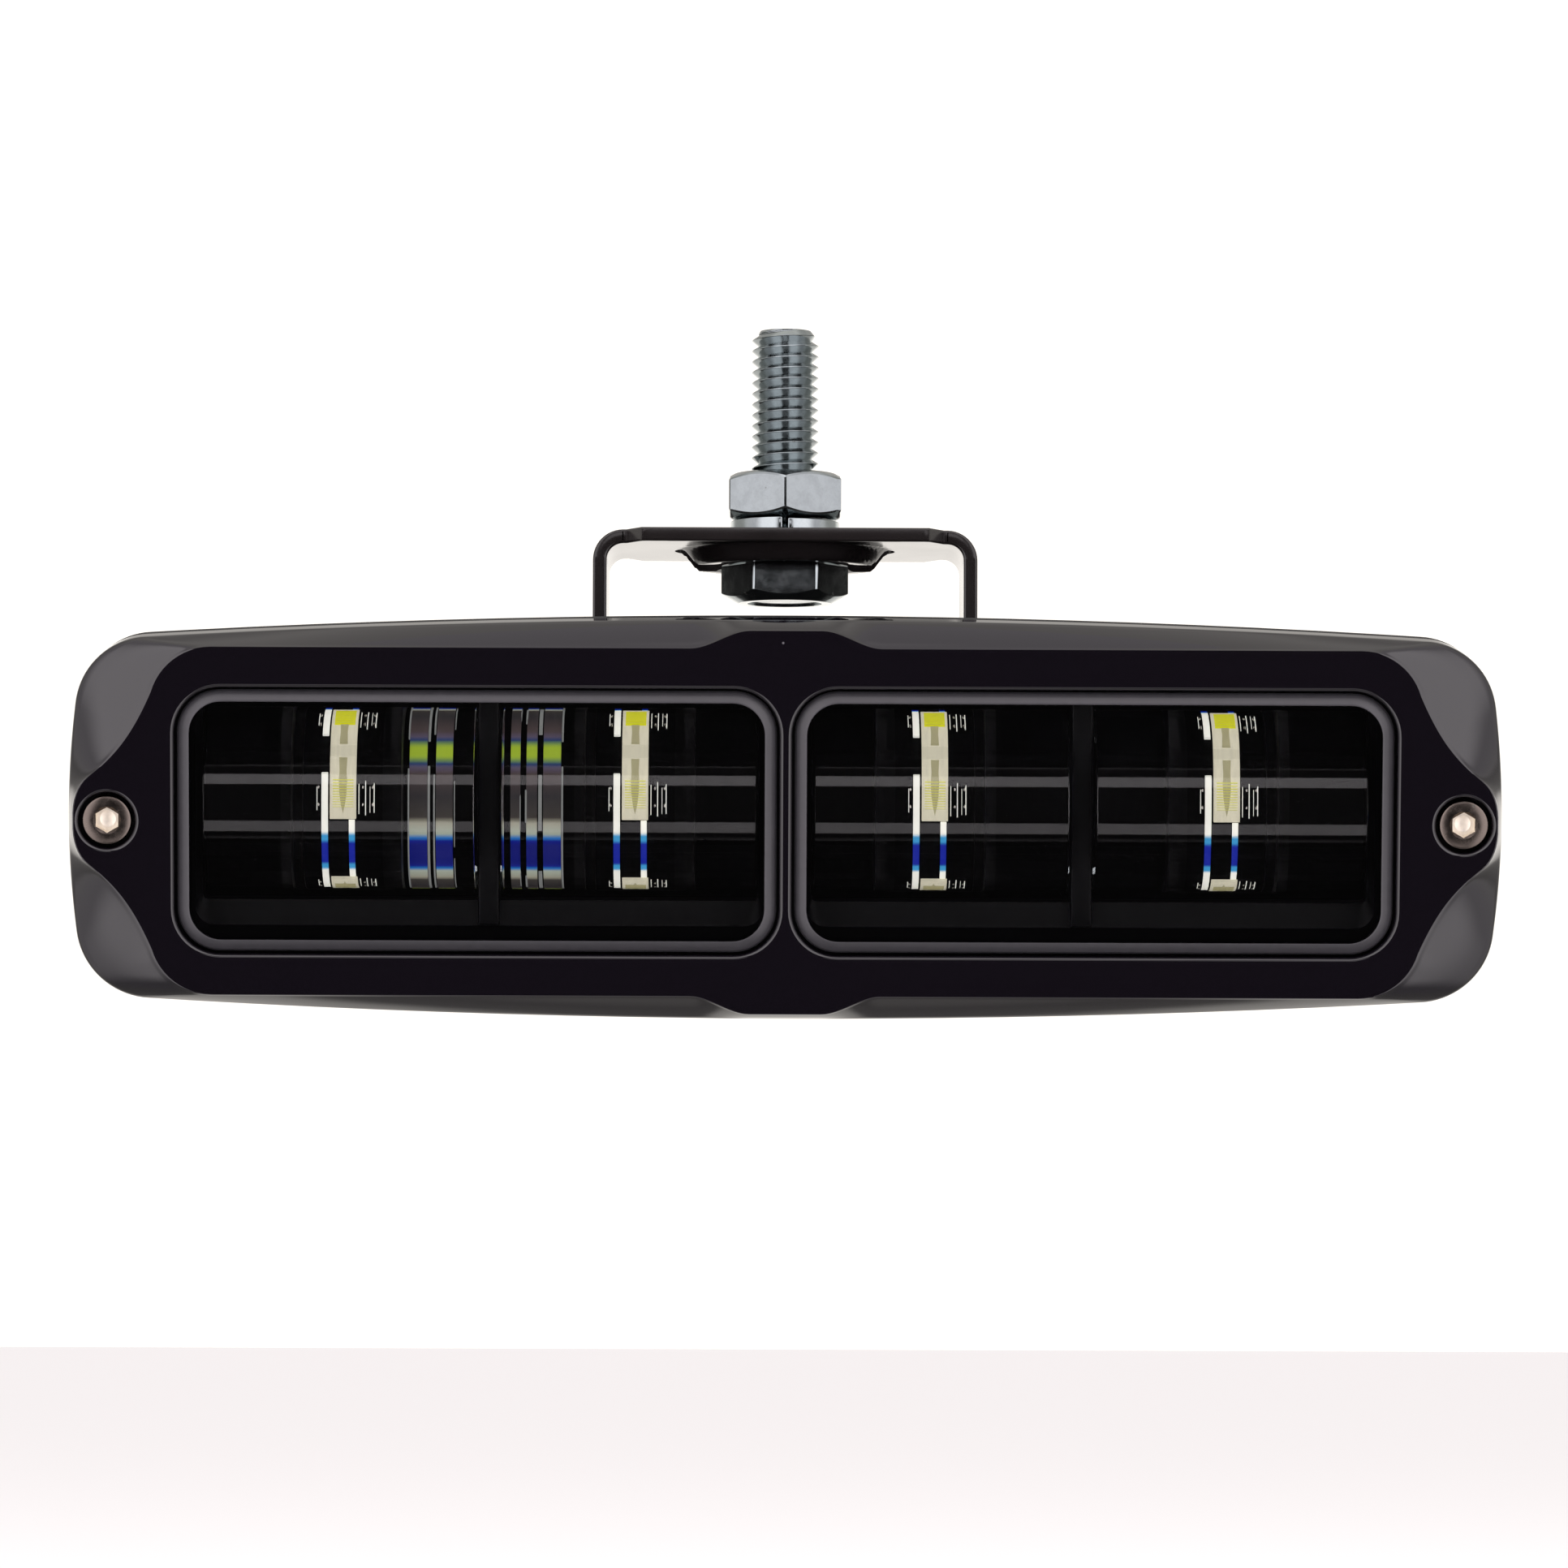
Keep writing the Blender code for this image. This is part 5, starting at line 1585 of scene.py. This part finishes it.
# ------------------------------------------------------------------- bracket
@dataclass
class Bracket:
    """U bracket bent from one strip, with a pressed bowl and a slot."""

    sheet: float = 1.6 * MM
    half_width: float = 22.15 * MM
    bend_r: float = 3.5 * MM
    plate_half: float = 13.0 * MM
    wide_to: float = 16.5 * MM
    shoulder: float = 18.3 * MM
    leg_half: float = 10.0 * MM
    leg_tip_r: float = 8.0 * MM
    taper_from: float = 14.0 * MM
    bowl_top_r: float = 11.8 * MM
    bowl_floor_r: float = 9.3 * MM
    swell: tuple[Point2, ...] = (
        (12.3 * MM, 0.0), (10.8 * MM, 1.95 * MM), (9.2 * MM, 1.95 * MM), (8.4 * MM, 1.5 * MM),
        (0.0, 1.5 * MM),
    )
    bowl_depth: float = 1.5 * MM

    slot_half: float = 8.3 * MM
    slot_r: float = 4.5 * MM
    pivot_r: float = 2.8 * MM
    hem: float = 0.28 * MM

    @property
    def flat(self) -> float:
        """Distance from the middle to the start of a bend."""
        return self.half_width - self.bend_r

    @property
    def bend(self) -> float:
        """Length of one bend on the outer face."""
        return self.bend_r * math.pi / 2

    def half_depth(self, run: float) -> float:
        """Half of the strip's width at a distance from its middle."""
        if run <= self.wide_to:
            return self.plate_half
        if run <= self.shoulder:
            share = (run - self.wide_to) / (self.shoulder - self.wide_to)
            return self.plate_half + (self.leg_half - self.plate_half) * share
        drop = run - self.flat - self.bend + self.bend_r
        if drop <= self.taper_from:
            return self.leg_half
        if drop <= TILT_DROP:
            share = (drop - self.taper_from) / (TILT_DROP - self.taper_from)
            return self.leg_half + (self.leg_tip_r - self.leg_half) * share
        past = min(drop - TILT_DROP, self.leg_tip_r * 0.9995)
        return math.sqrt(self.leg_tip_r**2 - past**2)

    def bent(self, run: float) -> tuple[float, float]:
        """(x, z) on the outer face at a signed distance from the middle."""
        way = -1.0 if run < 0 else 1.0
        length = abs(run)
        if length <= self.flat:
            return (run, 0.0)
        angle = (length - self.flat) / self.bend_r
        if angle <= math.pi / 2:
            x = self.flat + self.bend_r * math.sin(angle)
            return (way * x, -self.bend_r * (1 - math.cos(angle)))
        return (way * self.half_width, -self.bend_r - (length - self.flat - self.bend))

    def stations(self) -> list[float]:
        """Distances along the strip where the mesh has a row."""
        half = [0.5 * MM * k for k in range(27)]
        half += [13.6 * MM, 14.8 * MM, 15.9 * MM, self.wide_to, 16.7 * MM, 17.4 * MM, 18.1 * MM]
        half += [self.shoulder, 18.8 * MM]
        half += [self.flat + self.bend * k / 12 for k in range(13)]
        start = self.flat + self.bend
        pivot = start + TILT_DROP - self.bend_r
        half += spaced(start, pivot, 8)
        half += [pivot + self.leg_tip_r * math.sin(math.radians(5.5 * (k + 1))) for k in range(16)]
        return [-value for value in reversed(half[1:])] + half

    def dip(self, x: float, y: float) -> float:
        """Depth of the pressed bowl at a point."""
        share = (self.bowl_top_r - math.hypot(x, y)) / (self.bowl_top_r - self.bowl_floor_r)
        return self.bowl_depth * ease(share)

    def bulge(self, x: float, y: float) -> float:
        """Depth of the ring-shaped swell under the bowl at a point."""
        radius = math.hypot(x, y)
        for (outer, start), (inner, end) in zip(self.swell, self.swell[1:]):
            if radius >= outer:
                return start
            if radius >= inner:
                return start + (end - start) * ease((outer - radius) / (outer - inner))
        return self.swell[-1][1]

    def cross_section(self, run: float) -> list[tuple[float, float, float]]:
        """Closed loop round the sheet at a signed distance from the middle."""
        half = self.half_depth(abs(run))
        x, z = self.bent(run)
        way = -1.0 if run < 0 else 1.0
        angle = max(0.0, min(math.pi / 2, (abs(run) - self.flat) / self.bend_r))
        inward = Vector((-way * math.sin(angle), 0.0, -math.cos(angle)))
        edge = min(self.hem, half * 0.3)
        across = 48
        flats = [(2 * step / across - 1) * (half - edge) for step in range(across + 1)]
        on_plate = abs(run) < self.wide_to
        loop = []

        def point(y: float, deep: float, drop: float = 0.0) -> None:
            loop.append(tuple(Vector((x, y, z - drop)) + inward * deep))

        def corner(shares: Sequence[float], start: float, side: int, middle: float) -> None:
            for share in shares:
                point(*on_circle((side * (half - edge), middle), edge, start + 90.0 * share))

        for y in flats:
            point(y, 0.0, self.dip(x, y) if on_plate else 0.0)
        corner((0.3, 0.6, 1.0), -90.0, 1, edge)
        corner((0.0, 0.4, 0.7, 1.0), 0.0, 1, self.sheet - edge)
        for y in reversed(flats[:-1]):
            point(y, self.sheet, self.bulge(x, y) if on_plate else 0.0)
        corner((0.3, 0.6, 1.0), 90.0, -1, self.sheet - edge)
        corner((0.0, 0.4, 0.7), 180.0, -1, edge)
        return loop

    def build(self) -> None:
        """Skin the strip from leg to leg, then cut its slot and pivot holes."""
        bracket = Shop.skin([self.cross_section(run) for run in self.stations()])
        ring = [
            on_circle((way * self.slot_half, 0.0), self.slot_r, start + 7.5 * step)
            for way, start in ((1, -90), (-1, 90))
            for step in range(25)
        ]
        slot = Shop.skin([[(x, y, z) for x, y in ring] for z in (-6 * MM, 3 * MM)])
        Shop.work(bracket, slot, Join.CUT)
        reach = 30 * MM
        hole = [(0.0, -reach), (self.pivot_r, -reach), (self.pivot_r, reach), (0.0, reach)]
        Shop.work(bracket, Shop.turned(hole, Axis.X, (0, 0, -TILT_DROP), 48), Join.CUT)
        Shop.soften(bracket, 0.22 * MM, 3, 50.0)
        Shop.hand_over(
            bracket, "bent_bracket", "bracket_steel", [BRACKET_COAT], "mounting_bracket",
            Body.BRACKET, 40.0,
        )


# --------------------------------------------------------- mounting hardware
@dataclass
class MountingHardware:
    """Bolt with a real thread, both washers and the nut."""

    major_r: float = 3.9 * MM
    minor_r: float = 3.08 * MM
    pitch: float = 1.25 * MM
    flats: float = 13.0 * MM
    head: Point2 = (-7.7 * MM, -3.15 * MM)
    tip: float = 24.15 * MM
    runout: float = 1.15 * MM
    runout_slope: float = 0.83
    nut: Point2 = (1.95 * MM, 7.45 * MM)
    nut_bore_r: float = 4.35 * MM
    washer_r: Point2 = (4.25 * MM, 8.0 * MM)
    washer_z: Point2 = (-1.45 * MM, 0.1 * MM)
    split_r: Point2 = (4.25 * MM, 6.35 * MM)
    split_z: Point2 = (0.15 * MM, 1.9 * MM)
    split_gap: float = 6.0
    split_rise: float = 0.15 * MM
    tooth: tuple[Point2, ...] = (
        (0.0, 0.0), (0.02, 0.1), (0.1, 0.16), (0.9, 0.49), (0.98, 0.53), (1.0, 0.56), (0.98, 0.59),
        (0.9, 0.63), (0.1, 0.96), (0.0, 1.0),
    )

    @property
    def corner(self) -> float:
        """Distance from the axis to a hexagon's corner."""
        return across_corners(self.flats) / 2

    def thread(self, low: float, high: float) -> bpy.types.Object:
        """Threaded rod between two heights, cut flat at both ends.

        Args:
            low: Lower end.
            high: Upper end.

        Returns:
            The closed rod.
        """
        pitch, depth = self.pitch, self.major_r - self.minor_r
        start = low - 2.13 * pitch
        teeth = [(self.minor_r + depth * rise, share * pitch) for rise, share in self.tooth]
        Shop.put_down()
        bpy.ops.mesh.primitive_plane_add(size=MM)
        rod = bpy.context.object
        with Shop.editing(rod):
            bpy.ops.mesh.delete(type="ONLY_FACE")
            bpy.ops.mesh.select_all(action="SELECT")
            bpy.ops.mesh.merge(type="CENTER")
            for _tooth in teeth[1:]:
                bpy.ops.mesh.extrude_vertices_move()
        for vertex, (radius, height) in zip(rod.data.vertices, teeth):
            vertex.co = (radius, 0.0, start + height)
        screw = rod.modifiers.new("thread", "SCREW")
        screw.axis = "Z"
        screw.angle = 2 * math.pi
        screw.screw_offset = pitch
        screw.iterations = math.ceil((high - start) / pitch) + 2
        screw.steps = screw.render_steps = 48
        screw.use_merge_vertices = True
        screw.merge_threshold = 1e-6
        Shop.tidy(Shop.apply(rod))
        for height, way in ((high, 1.0), (low, -1.0)):
            with Shop.editing(rod):
                bpy.ops.mesh.bisect(
                    plane_co=(0, 0, height), plane_no=(0, 0, way), use_fill=True,
                    clear_outer=True, clear_inner=False, threshold=1e-8,
                )
        return Shop.tidy(rod)

    def bolt(self) -> None:
        """Hexagon bolt, head down, thread up."""
        rod = self.thread(0.6 * MM, self.tip)
        major, corner = self.major_r, self.corner
        for vertex in rod.data.vertices:
            radius = math.hypot(vertex.co.x, vertex.co.y)
            widest = major - self.runout_slope * (vertex.co.z - (self.tip - self.runout))
            if radius > widest:
                vertex.co.x *= widest / radius
                vertex.co.y *= widest / radius
        low, high = self.head
        head = Shop.hexagon(self.flats, low, high, turn=math.pi / 6)
        Shop.soften(head, 0.27 * MM, 1, 25.0)
        wide = corner + 0.9 * MM
        crown = [
            (0.0, low - MM), (corner - 3.81 * MM, low - MM), (corner - 2.08 * MM, low),
            (wide, low + 1.72 * MM), (wide, high + MM), (0.0, high + MM),
        ]
        Shop.work(head, Shop.turned(crown, steps=96), Join.COMMON)
        Shop.soften(head, 0.1 * MM, 2, 38.0)
        dish = section([(0.0, -0.5), (4.4, -0.5), (4.3, 0.12), (3.9, 0.28), (0.0, 0.28)], low)
        Shop.work(head, Shop.turned(dish), Join.CUT)
        top, under = 1.1 * MM, high - 0.4 * MM
        neck = [(0.0, under), (major, under), (major, 0.4 * MM), (3.3 * MM, top), (0.0, top)]
        self.plate(Shop.gather([head, Shop.turned(neck), rod]), "stud_bolt", "mounting_bolt", 26.0)

    def nut_piece(self) -> None:
        """Hexagon nut with crowned ends and a countersunk bore."""
        (low, high), corner, bore = self.nut, self.corner, self.nut_bore_r
        wide, inner, outer = corner + 0.75 * MM, corner - 3.4 * MM, corner - 1.65 * MM
        barrel = [
            (bore, low - MM), (inner, low - MM), (outer, low), (wide, low + 1.38 * MM),
            (wide, high - 1.38 * MM), (outer, high), (inner, high + MM), (bore, high + MM),
        ]
        nut = Shop.hexagon(self.flats, low, high)
        Shop.work(nut, Shop.turned(barrel, steps=96), Join.COMMON)
        self.plate(Shop.soften(nut, 0.16 * MM, 1, 25.0), "hexagon_nut", "mounting_nut", 26.0)

    def washers(self) -> None:
        """Flat washer in the bowl and split spring washer on it."""
        (inner, outer), (low, high) = self.washer_r, self.washer_z
        flat = Shop.turned([(inner, low), (outer, low), (outer, high), (inner, high)], steps=96)
        self.plate(Shop.soften(flat, 0.2 * MM, 3), "plain_washer", "flat_washer")
        (inner, outer), (low, high) = self.split_r, self.split_z
        gap, rise, steps = math.radians(self.split_gap), self.split_rise, 96
        rings = []
        for step in range(steps + 1):
            share = step / steps
            angle = -math.pi / 2 + gap / 2 + (2 * math.pi - gap) * share
            under, over = low + rise * share, high - rise * (1 - share)
            ring = ((inner, under), (outer, under), (outer, over), (inner, over))
            rings.append([(r * math.cos(angle), r * math.sin(angle), z) for r, z in ring])
        self.plate(Shop.soften(Shop.skin(rings), 0.15 * MM, 2), "split_washer", "spring_washer")

    def plate(self, obj: bpy.types.Object, name: str, node: str, smooth: float = 32.0) -> None:
        """Zinc-plate a piece and hand it over."""
        Shop.hand_over(obj, name, "zinc_steel", [ZINC], node, Body.HARDWARE, smooth)

    def build(self) -> None:
        """Make all four pieces."""
        self.bolt()
        self.nut_piece()
        self.washers()


# -------------------------------------------------------------- frame pieces
@dataclass
class HiddenPieces:
    """CAD nodes that stay as they are and only get their finish."""

    finishes: tuple[tuple[str, Finish], ...] = (
        ("housing_gasket", RUBBER),
        ("pane_seal_left", RUBBER),
        ("pane_seal_right", RUBBER),
        *((f"led_shroud_{number}", INNER_BLACK) for number in range(1, 5)),
        ("led_board", BOARD_BLACK),
        ("thermal_pad", PAD_GREY),
        *((f"board_screw_{number}", ZINC) for number in range(1, 5)),
        ("driver_board", BOARD_GREEN),
        ("driver_inductor", FERRITE),
        ("driver_capacitor", CAN),
        ("board_connector", NYLON),
    )

    def dress(self, nodes: dict[str, bpy.types.Object]) -> None:
        """Give each carried-over node its material.

        Args:
            nodes: The frame's CAD objects by name.
        """
        for name, finish in self.finishes:
            node = nodes[name]
            if not node.material_slots:
                node.data.materials.append(finish.material())
            for slot in node.material_slots:
                slot.material = finish.material()
            LOG.info("%s dressed as %s", name, finish.name)


# -------------------------------------------------------------------- studio
@dataclass
class Studio:
    """Pale floor, soft surround with a dark camera side, and the camera."""

    floor_z: float = -0.16
    distance: float = 0.936
    azimuth: float = math.radians(-0.3)
    elevation: float = math.radians(-3.7)
    roll: float = math.radians(0.2)
    focal: float = 185.0
    target: tuple[float, float, float] = (0.0, 0.0, -0.0287)

    def floor(self) -> None:
        """Plain pale floor, far wider than the object."""
        Shop.put_down()
        bpy.ops.mesh.primitive_grid_add(
            x_subdivisions=8, y_subdivisions=8, size=24.0, location=(0, 0, self.floor_z)
        )
        floor = bpy.context.object
        floor.name = "studio_floor"
        material = bpy.data.materials.new("studio_floor")
        material.use_nodes = True
        paint = Paint(material.node_tree)
        shade = paint.add("ShaderNodeBsdfDiffuse", {}, {"Color": (0.86, 0.86, 0.86, 1.0)})
        paint.surface(shade.outputs[0])
        floor.data.materials.append(material)
        floor.visible_glossy = False
        floor.visible_transmission = False

    def surround(self) -> None:
        """World light: bright all round, dark towards the camera but for two strips."""
        world = bpy.data.worlds.new("studio")
        bpy.context.scene.world = world
        world.use_nodes = True
        paint = Paint(world.node_tree)
        coords = paint.add("ShaderNodeTexCoord", {}, {})
        x, y, z = paint.parts(coords.outputs["Generated"])
        azimuth = paint.add("ShaderNodeMath", {"operation": "ARCTAN2"}, {0: x, 1: y * -1.0})
        rising = paint.add("ShaderNodeMath", {"operation": "ARCSINE"}, {0: z})
        degrees = 180.0 / math.pi
        turn = abs(Signal(paint, azimuth.outputs[0])) * degrees
        height = Signal(paint, rising.outputs[0]) * degrees
        front = 1.0 - turn.step(46, 68)
        behind = turn.step(126, 150)
        low = 1.0 - height.step(-56, -42)
        high = height.step(55, 70)
        sides = front * (height.step(-38, -22) * 0.5 + 0.65) + 1.0
        horizon = behind * height.window((-18, -8), (7, 14)) * 0.45
        above = behind * height.step(8, 15) * 0.45
        flank = turn.window((88, 102), (130, 144)) * 0.4
        ground = low * (0.62 - height.step(-80, -66) * 0.26)
        around = (sides + horizon - above - flank) * (1.0 - low) * (1.0 - high)
        around = around + ground + high * 1.02
        gap = (1.0 - turn.step(13, 19)) * height.window((-58, -50), (32, 42))
        upper = height.window((9.5, 11), (22, 23.5))
        lower = height.window((-46, -44.5), (-33, -31.5))
        strips = (upper + lower * 0.75) * (1.0 - turn.step(9, 10))
        level = around * (1.0 - gap * 0.99) + strips * 1.4
        rays = paint.add("ShaderNodeLightPath", {}, {})
        seen = Signal(paint, rays.outputs["Is Camera Ray"])
        strength = level * (1.0 - seen) + seen * 1.25
        tint = paint.blend(turn.step(70, 110), (1.0, 0.945, 0.975), (1.0, 0.955, 0.90))
        background = paint.add("ShaderNodeBackground", {}, {"Color": tint, "Strength": strength})
        paint.add("ShaderNodeOutputWorld", {}, {"Surface": background.outputs[0]})

    def lamp(self, name: str, place: Sequence[float], size: float, power: float) -> None:
        """Square soft light aimed at the object.

        Args:
            name: Its name.
            place: Its position.
            size: Side length.
            power: Watts.
        """
        data = bpy.data.lights.new(name, "AREA")
        data.shape = "SQUARE"
        data.size = size
        data.energy = power
        light = bpy.data.objects.new(name, data)
        bpy.context.scene.collection.objects.link(light)
        light.visible_glossy = False
        light.visible_transmission = False
        light.location = place
        away = Vector(place) - Vector(self.target)
        light.rotation_euler = away.to_track_quat("Z", "Y").to_euler()

    def camera(self) -> None:
        """Long-lens camera a little below the lamp's level."""
        data = bpy.data.cameras.new("camera")
        data.lens = self.focal
        data.sensor_width = 36.0
        data.clip_start = 0.05
        data.clip_end = 60.0
        camera = bpy.data.objects.new("camera", data)
        bpy.context.scene.collection.objects.link(camera)
        cos_e = math.cos(self.elevation)
        back = Vector((
            math.sin(self.azimuth) * cos_e,
            -math.cos(self.azimuth) * cos_e,
            math.sin(self.elevation),
        ))
        camera.location = Vector(self.target) + back * self.distance
        aim = back.to_track_quat("Z", "Y").to_matrix().to_4x4()
        camera.rotation_mode = "QUATERNION"
        camera.rotation_quaternion = (aim @ Matrix.Rotation(self.roll, 4, "Z")).to_quaternion()
        bpy.context.scene.camera = camera

    def build(self) -> None:
        """Set the stage."""
        bpy.context.scene.view_settings.view_transform = "Standard"
        bpy.context.scene.view_settings.look = "None"
        self.floor()
        self.surround()
        self.lamp("key_light", (-0.9, -0.5, 1.1), 0.8, 9.0)
        self.lamp("fill_light", (1.1, 0.3, 0.7), 0.9, 6.0)
        self.camera()


def corners(box: tuple[Vector, Vector]) -> list[list[float]]:
    """Plain lists from a pair of corners."""
    return [list(box[0]), list(box[1])]


def main() -> None:
    """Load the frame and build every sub-assembly."""
    logging.basicConfig(level=logging.INFO, format="%(name)s %(message)s")
    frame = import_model()
    studio = Studio()
    studio.build()
    bezel = Bezel()
    bezel.build()
    Windows().build()
    Optics().build()
    Fasteners().build()
    Housing().build(bezel.body_outline())
    Bracket().build()
    MountingHardware().build()
    HiddenPieces().dress(frame["nodes"])
    Shop.put_down()


if __name__ == "__main__":
    main()
